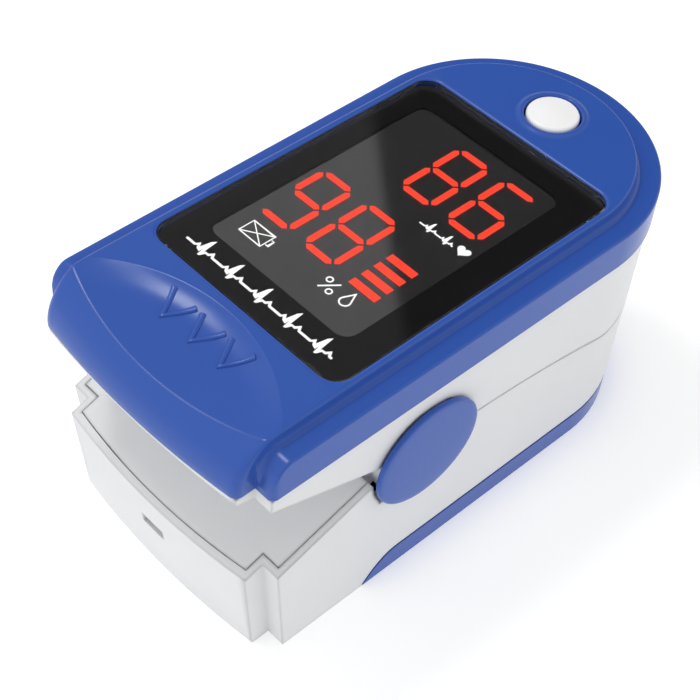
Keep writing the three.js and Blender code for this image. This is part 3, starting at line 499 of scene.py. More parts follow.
def cover_stations():
    """All cross-sections round the cover: nose from left to right, right side, rear, left side."""
    rows = block_rows()
    edge = PANEL_HALF
    right = []
    for row in rows[1:]:
        y = row(edge)
        if y < NOTCH_Y:
            right.append(wall_station(edge, y, block_top(edge, y) - EDGE_DROP))
            continue
        station = ledge_station(edge, y, (ledge_outer(y), y))
        if right[-1][0][1] < NOTCH_Y:
            right.append([(edge, y, z) for _, _, z in station])
        right.append(station)
    path = panel_edge(0.0)
    rear = []
    for x, y in path[1:-1]:
        if abs(x) > edge - 1e-6 and y < PANEL_CENTRE:
            t = (y - FLAT_START) / (PANEL_CENTRE - FLAT_START)
            oy = lerp(FLAT_START, REAR_CENTRE, t)
            outer = (math.copysign(ledge_outer(oy), x), oy)
        else:
            angle = math.atan2(y - PANEL_CENTRE, x)
            outer = (REAR_RADIUS * math.cos(angle), REAR_CENTRE + REAR_RADIUS * math.sin(angle))
        rear.append(ledge_station(x, y, outer))
    left = [[(-x, y, z) for x, y, z in station] for station in reversed(right)]
    columns = [x for x, _ in block_columns()]
    nose = []
    for x in reversed(columns):
        drop = EDGE_DROP if abs(x) == edge else 0.0
        nose.append(wall_station(x, nose_edge(x), block_top(x, nose_edge(x)) - drop))
    return nose + right + rear + left


def inside_point(x, y):
    """Where the inner wall stands behind a point of the seam."""
    if y > REAR_CENTRE:
        scale = (REAR_RADIUS - INNER_WALL) / REAR_RADIUS
        return x * scale, REAR_CENTRE + (y - REAR_CENTRE) * scale
    return max(-14.0, min(14.0, x)), max(NOSE_Y + 4.2, y)


def lens_outline(grow):
    """Plan of the lens, a little wider and longer than its CAD node, grown evenly."""
    side, rear = 0.3 + grow, 0.5 + grow
    corner = max(0.3, 1.9 + grow)
    return rounded_rectangle(LENS_LOW[0] - side, LENS_HIGH[0] + side,
                             LENS_LOW[1] - grow, LENS_HIGH[1] + rear, corner, 12)


def button_circle(radius):
    """Circle round the power button, open by one step so that a loop closes it."""
    return arc_points(0, BUTTON_Y, radius, 0, 360 - 360 / 72, 72)


def top_cover():
    """Shell with the rolled nose, thumb scoop, ledge, lens recess and button ring."""
    mesh = bmesh.new()
    stations = cover_stations()
    wall = [[station[level] for station in stations] for level in range(len(stations[0]))]
    inner = [inside_point(x, y) for x, y, _ in wall[0]]
    under = [at(inner, CEILING_Z), at(inner, SEAM_Z)]
    add_loops(mesh, under + wall)
    columns = block_columns()
    grid = []
    for row in block_rows():
        grid.append([(x, row(x), block_top(x, row(x)) - drop) for x, drop in columns])
    add_loops(mesh, grid, closed=False)
    edges = [[(x, y, PANEL_Z - drop) for x, y in panel_edge(offset)] for offset, drop in EDGE_OFFSETS]
    add_loops(mesh, edges, closed=False)
    lip = [(0.4, 0.0), (0.32, 0.015), (0.22, 0.055), (0.14, 0.11), (0.08, 0.18), (0.05, 0.27)]
    recess = [(grow, PANEL_Z - drop) for grow, drop in lip]
    recess += [(0.05, LENS_SEAT_Z), (-1.7, LENS_SEAT_Z), (-1.7, CEILING_Z)]
    add_loops(mesh, [at(lens_outline(grow), z) for grow, z in recess])
    bead = [(RING_RADIUS, 0.0), (3.7, 0.03), (3.5, 0.12), (3.32, 0.2), (3.16, 0.22), (3.02, 0.16),
            (2.94, 0.0)]
    ring = [(radius, PANEL_Z + rise) for radius, rise in bead] + [(2.92, 29.5), (2.92, CEILING_Z)]
    add_loops(mesh, [at(button_circle(radius), z) for radius, z in ring])
    front = [(x, FLAT_START) for x, _ in reversed(columns[4:-4])]
    for border, (grow, seat_z), (radius, ring_z) in (
            (panel_edge(EDGE_OFFSETS[-1][0]) + front, recess[0], ring[0]), (inner, recess[-1], ring[-1])):
        circle = at(button_circle(radius), ring_z)
        add_cap(mesh, [at(border, ring_z), at(lens_outline(grow), seat_z), circle])
    piece("cover_shell", mesh, BLUE_PLASTIC, "upper_body", ["top_cover"], sharp=50)


top_cover()


# ---- display: lens, mask, module and what it shows ------------------------------------
def smoked_lens():
    """Glossy smoked acrylic with faint wipe marks."""
    s = Shader("smoked_lens")
    wipe = s.noise(0.35, 4.0)
    rounded, edge = s.edges(0.06)
    values = {"Base Color": s.mix(edge * 0.3, (0.75, 0.745, 0.755, 1), (0.5, 0.5, 0.52, 1)),
              "Roughness": wipe * 0.004, "Normal": rounded,
              "Transmission Weight": 1.0, "IOR": 1.25}
    return s.finish(values)


def mask_print():
    """Matt black ink behind the lens."""
    s = Shader("lens_mask_print")
    cloud = s.noise(0.6, 3.0)
    ink = (0.006, 0.005, 0.0048, 1)
    values = {"Base Color": s.mix(cloud, tint(ink, 0.8), tint(ink, 1.2)), "Roughness": 0.6 + cloud * 0.1,
              "Specular IOR Level": 0.15}
    return s.finish(values)


def display_face():
    """Glossy filter film over the display, which throws back more light than the lens does."""
    s = Shader("display_face")
    cloud = s.noise(0.4, 3.0)
    values = {"Base Color": s.mix(cloud, (0.027, 0.027, 0.027, 1), (0.034, 0.034, 0.034, 1)),
              "Roughness": 0.04 + cloud * 0.03, "Specular IOR Level": 1.0,
              "Coat Weight": 1.0, "Coat IOR": 2.0, "Coat Roughness": 0.02}
    return s.finish(values)


LENS_MATERIAL = smoked_lens()
MASK_MATERIAL = mask_print()
MODULE_MATERIAL = display_face()
LIT_RED = glowing("lit_red", (1.0, 0.05, 0.02, 1), 1.45)
# The white marks are print, not lamps: their glow is painted light.
PRINT_WHITE_PAINTED_GLOW = glowing("printed_white_painted_glow", (0.9, 0.9, 0.88, 1), 1.5)

LENS_TOP = PANEL_Z - 0.07
LENS_BOTTOM = 29.2
MASK_Z = (29.11, 29.16)
TRACE_Z = (29.165, 29.185)
MARKS_Z = (29.01, 29.03)
SHOWN_Z = 29.06
PARALLAX = (0.21, -0.22)  # the display lies under the lens, seen through its thickness


def add_slab(mesh, outline, low, high):
    """A flat plate from a plan outline."""
    add_capped(mesh, [at(outline, low), at(outline, high)])


def lens_plate():
    """The lens, with eased edges."""
    mesh = bmesh.new()
    loops = []
    for inset, z in ((0.06, LENS_BOTTOM), (0.0, LENS_BOTTOM + 0.06), (0.0, LENS_TOP - 0.1),
                     (0.03, LENS_TOP - 0.03), (0.1, LENS_TOP)):
        loops.append(at(lens_outline(-inset), z))
    add_capped(mesh, loops)
    piece("lens", mesh, LENS_MATERIAL, "upper_body", ["display_lens"], sharp=60)


WINDOW = (-10.1, 8.8, -14.15, 14.3)  # left, right, front and rear


def lens_mask():
    """Black print behind the lens, with a window over the lit field."""
    mesh = bmesh.new()
    outer = lens_outline(-0.02)
    inner = rounded_rectangle(*WINDOW, 1.5, 12)
    low, high = MASK_Z
    add_loops(mesh, [at(outer, low), at(outer, high), at(inner, high), at(inner, low), at(outer, low)])
    piece("lens_mask", mesh, MASK_MATERIAL, "upper_body")


def display_block():
    """Display module: a potted block with a slightly sunk face and a raised frame."""
    low, high = span("display_module")
    mesh = bmesh.new()

    def plan(inset):
        return rounded_rectangle(low[0] + inset, high[0] - inset, low[1] + inset, high[1] - inset, 0.8)

    rim = 28.95
    rows = [(0.3, low[2]), (0.0, low[2] + 0.3), (0.0, rim - 0.15), (0.15, rim), (0.5, rim),
            (0.6, SHOWN_Z - 0.06)]
    add_capped(mesh, [at(plan(inset), z) for inset, z in rows])
    piece("display_block", mesh, MODULE_MATERIAL, "upper_body", ["display_module"])


def stroke(start, end, width, tip):
    """Outline of a bar from start to end with pointed ends."""
    a, b = Vector(start), Vector(end)
    along = (b - a).normalized()
    across = Vector((-along.y, along.x)) * width / 2
    return [tuple(p) for p in (a, a + along * tip - across, b - along * tip - across, b,
                               b - along * tip + across, a + along * tip + across)]


SEGMENTS = {
    "top": ((0, 2), (1, 2)), "upper_left": ((0, 1), (0, 2)), "upper_right": ((1, 1), (1, 2)),
    "middle": ((0, 1), (1, 1)), "lower_left": ((0, 0), (0, 1)), "lower_right": ((1, 0), (1, 1)),
    "bottom": ((0, 0), (1, 0)),
}
UNLIT = {8: (), 9: ("lower_left",), 6: ("upper_right",)}
DIGIT_PITCH = (3.78, 4.04)
BAR_PITCH = 1.573


def digit_strokes(value, x, y):
    """Seven-segment strokes of a digit whose lower left corner is at x, y."""
    strokes = []
    for name, (start, end) in SEGMENTS.items():
        if name in UNLIT[value]:
            continue
        a = Vector((x + start[0] * DIGIT_PITCH[0], y + start[1] * DIGIT_PITCH[1]))
        b = Vector((x + end[0] * DIGIT_PITCH[0], y + end[1] * DIGIT_PITCH[1]))
        inward = (b - a).normalized() * 0.2
        strokes.append(stroke(a + inward, b - inward, 0.68, 0.36))
    return strokes


def lit_readings():
    """The two readings and the four-step signal bar."""
    mesh = bmesh.new()
    dx, dy = PARALLAX
    outlines = digit_strokes(9, -9.05 + dx, -8.25 + dy) + digit_strokes(8, -2.98 + dx, -8.25 + dy)
    outlines += digit_strokes(8, -2.98 + dx, 4.3 + dy) + digit_strokes(6, 3.12 + dx, 4.3 + dy)
    for i in range(4):
        y = -8.2 + BAR_PITCH * i + dy
        left, right, half = 3.3 + dx, 6.66 + dx, 0.42
        outlines.append([(left, y - half), (right, y - half), (right, y + half), (left, y + half)])
    for outline in outlines:
        add_slab(mesh, outline, SHOWN_Z - 0.08, SHOWN_Z + 0.02)
    piece("lit_readings", mesh, LIT_RED, "upper_body", weighted=False)


def add_line(mesh, points, width, low, high):
    """A flat line of even width through plan points, with square ends."""
    lefts, rights = [], []
    for i, point in enumerate(points):
        before = Vector(points[max(i - 1, 0)])
        after = Vector(points[min(i + 1, len(points) - 1)])
        here = Vector(point)
        normal = Vector((before.y - after.y, after.x - before.x)).normalized()
        if 0 < i < len(points) - 1:
            first = (here - before).normalized()
            spread = abs(normal.dot(Vector((-first.y, first.x))))
            normal = normal / max(spread, 0.45)
        lefts.append(here + normal * width / 2)
        rights.append(here - normal * width / 2)
    rows = []
    for left, right in zip(lefts, rights):
        rows.append(at((left, right), high) + at((right, left), low))
    add_closed(mesh, rows)


def pulse_wave(x0, x1, y, beats, height):
    """Points of a heartbeat trace."""
    shape = [(0.0, 0.0), (0.3, 0.0), (0.36, 0.22), (0.42, 0.0), (0.48, -0.18), (0.54, 1.0), (0.62, -0.45),
             (0.68, 0.0), (0.78, 0.0), (0.85, 0.26), (0.92, 0.0)]
    points = []
    for beat in range(beats):
        for u, v in shape:
            points.append((lerp(x0, x1, (beat + u) / beats), y + v * height))
    return points + [(x1, y)]


def printed_marks_painted_glow():
    """White print behind the lens, made to glow with painted light: pulse trace, battery, heart, per cent
    sign and drop.
    """
    mesh = bmesh.new()
    dx, dy = PARALLAX
    add_line(mesh, pulse_wave(-10.3 + dx, 9.3 + dx, -16.2 + dy, 5, 1.5), 0.26, *TRACE_Z)
    low, high = MARKS_Z
    dx, dy = dx - 0.1, dy + 0.1

    def shown(points):
        return [(x + dx, y + dy) for x, y in points]

    case = [(-8.1, -11.85), (-5.15, -11.85), (-5.15, -9.95), (-8.1, -9.95)]
    add_line(mesh, shown(case + case[:1]), 0.13, low, high)
    add_line(mesh, shown(case[0::2]), 0.11, low, high)
    add_line(mesh, shown(case[3::-2]), 0.11, low + 0.002, high + 0.002)
    add_line(mesh, shown([(-5.0, -11.3), (-4.7, -11.3), (-4.7, -10.5), (-5.0, -10.5)]), 0.13, low, high)
    heart = []
    for i in range(36):
        t = 2 * math.pi * i / 36
        x = 16 * math.sin(t) ** 3
        y = 13 * math.cos(t) - 5 * math.cos(2 * t) - 2 * math.cos(3 * t) - math.cos(4 * t)
        heart.append((7.3 + dx + x * 0.047, 2.15 + dy + y * 0.047))
    add_slab(mesh, heart, low, high)
    add_line(mesh, pulse_wave(1.9 + dx, 6.2 + dx, 1.85 + dy, 2, 0.95), 0.17, low, high)
    add_line(mesh, shown([(1.95, -11.2), (3.3, -9.5)]), 0.17, low, high)
    for x, y in ((2.1, -9.8), (3.15, -10.9)):
        ring = arc_points(x + dx, y + dy, 0.31, 0, 360, 20)
        add_line(mesh, ring, 0.15, low, high)
    drop = arc_points(5.0 + dx, -10.65 + dy, 0.55, -210, 30, 16) + [(5.0 + dx, -9.3 + dy)]
    add_line(mesh, drop + [drop[0]], 0.16, low, high)
    piece("printed_marks_painted_glow", mesh, PRINT_WHITE_PAINTED_GLOW, "upper_body", weighted=False)


def press_mark():
    """Three raised chevrons on the thumb pad that point to the end to be squeezed."""
    mesh = bmesh.new()
    for centre in (-3.9, 0.0, 3.9):
        path = [(centre - 1.5, -21.6), (centre, -24.2), (centre + 1.5, -21.6)]
        rows = []
        for (x, y), (nx, ny) in zip(path, ((0.87, 0.5), (0.0, 1.12), (-0.87, 0.5))):
            z = block_top(x, y)
            row = []
            for i in range(9):
                turn = math.pi * i / 8
                away = 0.36 * math.cos(turn)
                row.append((x + nx * away, y + ny * away, z - 0.03 + 0.25 * math.sin(turn)))
            row.append((x - nx * 0.36, y - ny * 0.36, z - 0.2))
            row.append((x + nx * 0.36, y + ny * 0.36, z - 0.2))
            rows.append(row)
        dense = []
        for first, second in zip(rows, rows[1:]):
            for i in range(6):
                t = i / 6
                mixed = [tuple(lerp(a, b, t) for a, b in zip(p, q)) for p, q in zip(first, second)]
                base = block_top(mixed[4][0], mixed[4][1])
                flat = lerp(first[4][2], second[4][2], t)
                dense.append([(x, y, z + base + 0.22 - flat) for x, y, z in mixed])
        dense.append(rows[-1])
        add_closed(mesh, dense)
    piece("press_mark", mesh, BLUE_PLASTIC, "upper_body", sharp=60)


lens_plate()
lens_mask()
display_block()
lit_readings()
printed_marks_painted_glow()
press_mark()


# ---- turned and domed pieces ----------------------------------------------------------
def add_lathe(mesh, profile, steps=48, axis="z", centre=(0, 0, 0)):
    """Turn a profile of (radius, height) that starts and ends on the axis."""
    turn = {"z": lambda r, h, a: (r * math.cos(a), r * math.sin(a), h),
            "y": lambda r, h, a: (r * math.cos(a), h, r * math.sin(a)),
            "x": lambda r, h, a: (h, r * math.cos(a), r * math.sin(a))}[axis]
    rows = []
    for radius, height in profile:
        row = []
        for i in range(steps):
            point = turn(max(radius, 0.0), height, 2 * math.pi * i / steps)
            row.append(tuple(p + c for p, c in zip(point, centre)))
        rows.append(row)
    inner = [row for row, (radius, _) in zip(rows, profile) if radius > 1e-6]
    made = add_loops(mesh, inner)
    for row, (radius, height) in ((made[0], profile[0]), (made[-1], profile[-1])):
        if radius > 1e-6:
            mesh.faces.new(row)
            continue
        tip = mesh.verts.new(tuple(p + c for p, c in zip(turn(0, height, 0), centre)))
        for i in range(steps):
            mesh.faces.new((row[i], row[(i + 1) % steps], tip))


def power_button():
    """Domed cap with a rolled rim, on a flange that holds it under the cover."""
    low, high = BUTTON_LOW, BUTTON_HIGH
    radius = 2.74
    rim = PANEL_Z - 0.02
    profile = [(0, low[2]), (high[0] - 0.1, low[2]), (high[0], low[2] + 0.1), (high[0], low[2] + 0.5),
               (high[0] - 0.1, low[2] + 0.6), (radius, low[2] + 0.6), (radius, rim - 0.1)]
    for i in range(1, 10):
        angle = math.pi / 2 * i / 9
        profile.append((radius - 0.42 * (1 - math.cos(angle)), rim - 0.1 + 0.48 * math.sin(angle)))
    crown = high[2] - (rim + 0.38)
    for i in range(1, 7):
        share = 1 - i / 6
        profile.append((2.32 * share, rim + 0.38 + crown * (1 - share * share)))
    mesh = bmesh.new()
    add_lathe(mesh, profile, 64, centre=(0, BUTTON_Y, 0))
    piece("power_button_cap", mesh, BUTTON_PLASTIC, "button", ["power_button"], sharp=50)


def hinge_cap(side, name):
    """Oval cover over a hinge pin, gently domed, with an eased rim."""
    low, high = span(name)
    inner, outer = (low[0], high[0]) if side > 0 else (high[0], low[0])
    _, y, z = middle(name)
    half_y, half_z = (high[1] - low[1]) / 2, (high[2] - low[2]) / 2
    steps = 72
    rows = [(1.0, 0.0), (1.0, 0.55), (0.992, 0.72), (0.975, 0.84), (0.95, 0.9), (0.85, 0.95), (0.6, 0.98),
            (0.3, 0.995)]
    mesh = bmesh.new()
    loops = []
    for scale, rise in rows:
        x = lerp(inner, outer, rise)
        turns = [2 * math.pi * i / steps for i in range(steps)]
        loops.append([(x, y + half_y * scale * math.cos(turn), z + half_z * scale * math.sin(turn))
                      for turn in turns])
    made = add_loops(mesh, loops)
    mesh.faces.new(made[0])
    tip = mesh.verts.new((outer, y, z))
    for i in range(steps):
        mesh.faces.new((made[-1][i], made[-1][(i + 1) % steps], tip))
    piece(name + "_dome", mesh, BLUE_PLASTIC, "lower_body", [name], sharp=50)


power_button()
hinge_cap(-1, "hinge_cap_left")
hinge_cap(1, "hinge_cap_right")


# ---- shells that keep their CAD shape -------------------------------------------------
def dressed(node, name, material, body, grow=None, weighted=True):
    """A merged, smoothly shaded copy of a CAD node with its own finish."""
    mesh = bmesh.new()
    mesh.from_mesh(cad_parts[node].data)
    bmesh.ops.scale(mesh, vec=(1 / MM,) * 3, verts=mesh.verts)
    bmesh.ops.remove_doubles(mesh, verts=mesh.verts, dist=0.002)
    bmesh.ops.dissolve_limit(mesh, angle_limit=math.radians(0.6), verts=mesh.verts, edges=mesh.edges)
    if grow:
        for vertex in mesh.verts:
            vertex.co = grow(vertex.co)
    return piece(name, mesh, material, body, [node], sharp=32, weighted=weighted)


dressed("upper_housing", "upper_shell", WHITE_PLASTIC, "upper_body")


HINGE_Y, HINGE_Z = middle("hinge_pin_left")[1:]
PARTING_LEVEL_Y = 17.5
PARTING_RISE = 0.36
PARTING_FALL = 3.2
PARTING_GAP = 0.3
GAP_CLOSED = 0.17
DECK_GROWTH = 0.19


def closing_line(y):
    """Height of the line where the two white halves meet."""
    run = (min(y, PARTING_LEVEL_Y) - HINGE_Y) / (PARTING_LEVEL_Y - HINGE_Y)
    return HINGE_Z - 0.1 + PARTING_RISE * run - PARTING_FALL * run * run


def close_up(p):
    """The lower half's edge behind the hinge stands a little nearer the upper half than in the CAD."""
    near = p.y > -5 and abs(p.z - (closing_line(p.y) - PARTING_GAP / 2)) < 0.06
    return Vector((p.x, p.y, p.z + GAP_CLOSED * near))


def widen_deck(p):
    """The deck's side and front edges stand nearer the housing than in the CAD."""
    sideways = math.copysign(DECK_GROWTH, p.x) * (abs(p.x) > 9)
    return Vector((p.x + sideways, p.y - DECK_GROWTH * (p.y < -20), p.z))


dressed("lower_housing", "lower_shell", WHITE_PLASTIC, "lower_body", close_up)
dressed("lower_deck", "deck_plate", WHITE_PLASTIC, "lower_body", widen_deck)


# ---- Geometry Nodes for wires and rows ------------------------------------------------
def new_tree(name, sockets):
    """An empty tree with named inputs; gives it, the inputs' identifiers and its two end nodes."""
    tree = bpy.data.node_groups.new(name, "GeometryNodeTree")
    tree.interface.new_socket("Geometry", in_out="INPUT", socket_type="NodeSocketGeometry")
    ids = {}
    for label, kind in sockets.items():
        ids[label] = tree.interface.new_socket(label, in_out="INPUT", socket_type=kind).identifier
    tree.interface.new_socket("Geometry", in_out="OUTPUT", socket_type="NodeSocketGeometry")
    return tree, ids, tree.nodes.new("NodeGroupInput"), tree.nodes.new("NodeGroupOutput")


def end_tree(tree, given, made, out):
    """Close a tree with Realize Instances and Set Material."""
    realize = tree.nodes.new("GeometryNodeRealizeInstances")
    dress = tree.nodes.new("GeometryNodeSetMaterial")
    tree.links.new(made, realize.inputs[0])
    tree.links.new(realize.outputs[0], dress.inputs["Geometry"])
    tree.links.new(given.outputs["Material"], dress.inputs["Material"])
    tree.links.new(dress.outputs[0], out.inputs[0])


def wire_tree():
    """A round wire swept along a chain of edges."""
    tree, ids, given, out = new_tree("wire_along_path", {
        "Radius": "NodeSocketFloat", "Sides": "NodeSocketInt", "Material": "NodeSocketMaterial"})
    path = tree.nodes.new("GeometryNodeMeshToCurve")
    ring = tree.nodes.new("GeometryNodeCurvePrimitiveCircle")
    sweep = tree.nodes.new("GeometryNodeCurveToMesh")
    sweep.inputs["Fill Caps"].default_value = True
    tree.links.new(given.outputs["Geometry"], path.inputs[0])
    tree.links.new(given.outputs["Radius"], ring.inputs["Radius"])
    tree.links.new(given.outputs["Sides"], ring.inputs["Resolution"])
    tree.links.new(path.outputs[0], sweep.inputs["Curve"])
    tree.links.new(ring.outputs[0], sweep.inputs["Profile Curve"])
    end_tree(tree, given, sweep.outputs[0], out)
    return tree, ids


def row_tree():
    """Copies of the given shape in a straight row."""
    tree, ids, given, out = new_tree("row_of_ribs", {
        "Count": "NodeSocketInt", "Step": "NodeSocketVector", "Material": "NodeSocketMaterial"})
    line = tree.nodes.new("GeometryNodeMeshLine")
    copies = tree.nodes.new("GeometryNodeInstanceOnPoints")
    tree.links.new(given.outputs["Count"], line.inputs["Count"])
    tree.links.new(given.outputs["Step"], line.inputs["Offset"])
    tree.links.new(line.outputs[0], copies.inputs["Points"])
    tree.links.new(given.outputs["Geometry"], copies.inputs["Instance"])
    end_tree(tree, given, copies.outputs["Instances"], out)
    return tree, ids


WIRE, WIRE_IDS = wire_tree()
ROW, ROW_IDS = row_tree()


def grown(name, data, tree, ids, inputs, body, replaced):
    """Run a tree on a mesh and keep the plain mesh that comes out."""
    obj = new_object(name + "_path", data)
    modifier = obj.modifiers.new("tree", "NODES")
    modifier.node_group = tree
    for label, value in inputs.items():
        modifier[ids[label]] = value
    result = modified_mesh(obj)
    bpy.data.objects.remove(obj)
    mesh = bmesh.new()
    mesh.from_mesh(result)
    bmesh.ops.scale(mesh, vec=(1 / MM,) * 3, verts=mesh.verts)
    return piece(name, mesh, inputs["Material"], body, replaced, sharp=50)


def wire(name, points, radius, material, node):
    """A round wire along points, which rides on the lower body in place of a node."""
    data = bpy.data.meshes.new(name + "_path")
    edges = [(i, i + 1) for i in range(len(points) - 1)]
    data.from_pydata([Vector(point) * MM for point in points], edges, [])
    inputs = {"Radius": radius * MM, "Sides": 12, "Material": material}
    return grown(name, data, WIRE, WIRE_IDS, inputs, "lower_body", [node])


def eased(points, steps):
    """Catmull-Rom points through the given ones."""
    line = [Vector(p) for p in points]
    full = [line[0] * 2 - line[1]] + line + [line[-1] * 2 - line[-2]]
    made = []
    for a, b, c, d in zip(full, full[1:], full[2:], full[3:]):
        for i in range(steps):
            t = i / steps
            made.append(0.5 * (2 * b + (c - a) * t + (2 * a - 5 * b + 4 * c - d) * t * t
                               + (3 * b - a - 3 * c + d) * t ** 3))
    return made + [line[-1]]


# ---- more finishes --------------------------------------------------------------------
def silicone_skin():
    """Soft translucent rubber: matt, slightly dusty, with fine moulding ripples."""
    s = Shader("silicone")
    dust = s.noise(2.2, 5.0)
    tone = s.noise(0.18, 2.0)
    base = s.mix(tone, (0.60, 0.63, 0.66, 1), (0.70, 0.72, 0.74, 1))
    base = s.mix(dust.step(0.55, 0.8) * 0.25, base, (0.85, 0.86, 0.87, 1))
    values = {"Base Color": base, "Roughness": 0.58 + dust * 0.15,
              "Normal": s.bump(0.4, 0.03, s.noise(5.0)), "Sheen Weight": 0.15,
              "Subsurface Weight": 0.35, "Subsurface Radius": (1.0, 0.9, 0.85),
              "Subsurface Scale": 1.2 * MM}
    return s.finish(values)


def cell_sleeve():
    """Printed film round a dry cell: green with a pale band."""
    s = Shader("battery_sleeve")
    scuff = s.noise(0.8, 5.0)
    axes = s.add("ShaderNodeSeparateXYZ", None, {"Vector": s.place()}, "Y")
    band = (axes * (1 / (44.5 * MM)) * 2 * math.pi + 0.7).sine().step(0.93, 0.95)
    base = s.mix(band, colour(45, 127, 84), colour(205, 214, 208))
    base = s.mix(scuff.step(0.6, 0.8) * 0.3, base, colour(120, 150, 135))
    values = {"Base Color": base, "Roughness": 0.28 + scuff * 0.2, "Metallic": 0.35,
              "Normal": s.bump(0.2, 0.02, scuff), "Coat Weight": 0.4}
    return s.finish(values)


def solder_mask():
    """Circuit board: green mask over a faint grid of tracks, with a fine weave."""
    s = Shader("circuit_board")
    tracks = s.add("ShaderNodeTexBrick", {"offset": 0.37, "squash": 1.0}, {
        "Vector": s.place(), "Color1": (0, 0, 0, 1), "Color2": (0, 0, 0, 1), "Mortar": (1, 1, 1, 1),
        "Scale": 0.55 / MM, "Mortar Size": 0.06, "Brick Width": 1.3, "Row Height": 0.8}, "Fac")
    weave = s.noise(4.0, 2.0)
    base = s.mix(tracks, colour(24, 82, 48), colour(52, 122, 70))
    base = s.mix(weave * 0.15, base, colour(90, 140, 90))
    values = {"Base Color": base, "Roughness": 0.32 + weave * 0.2, "Normal": s.bump(0.5, 0.03, tracks),
              "Coat Weight": 0.3}
    return s.finish(values)


def clear_window():
    """Clear pane over a sensor, with faint wipe marks."""
    s = Shader("clear_window")
    wipe = s.noise(0.6, 3.0)
    values = {"Base Color": (0.86, 0.93, 0.95, 1), "Roughness": 0.06 + wipe * 0.08, "IOR": 1.49,
              "Transmission Weight": 0.85}
    return s.finish(values)


def flex_film():
    """Amber flexible circuit with copper lines along it."""
    s = Shader("ribbon")
    across = s.add("ShaderNodeSeparateXYZ", None, {"Vector": s.place()}, "X")
    lines = (across * (2 * math.pi / (0.5 * MM))).sine().step(-0.2, 0.3)
    base = s.mix(lines, colour(150, 84, 28), colour(196, 124, 52))
    values = {"Base Color": base, "Roughness": 0.3 + s.noise(1.0) * 0.15, "Coat Weight": 0.3}
    return s.finish(values)


SILICONE = silicone_skin()
SLEEVE = cell_sleeve()
NICKEL = brushed_metal("nickel", (0.72, 0.69, 0.62, 1), 0.22)
STEEL = brushed_metal("steel", (0.58, 0.59, 0.61, 1), 0.3)
BOARD = solder_mask()
GLASS = clear_window()
FILM = flex_film()
BLACK_PLASTIC = moulded("black_plastic", colour(22, 22, 24), rough=0.45, grain=0.01)
FRAME_PLASTIC = moulded("frame_plastic", colour(214, 216, 218), rough=0.5, grain=0.015)
LED_PACKAGE = moulded("led_package", colour(233, 228, 210), rough=0.4, grain=0.01, subsurface=0.2)


# ---- finger pads ----------------------------------------------------------------------
PAD_FLOOR = 1.02  # silicone left under the finger
PAD_SEAT = 0.45  # silicone left under a sensor window
SEAT_GAP = 0.12
CHANNEL_RADIUS = 12.0
RIPPLE_HEIGHT = 0.07
RIPPLE_PITCH = 1.5
PAD_LIP = 0.7
PAD_STRAIGHT = 21.5  # from the closed end to where the pad begins to narrow
ROW_STEP = 0.22


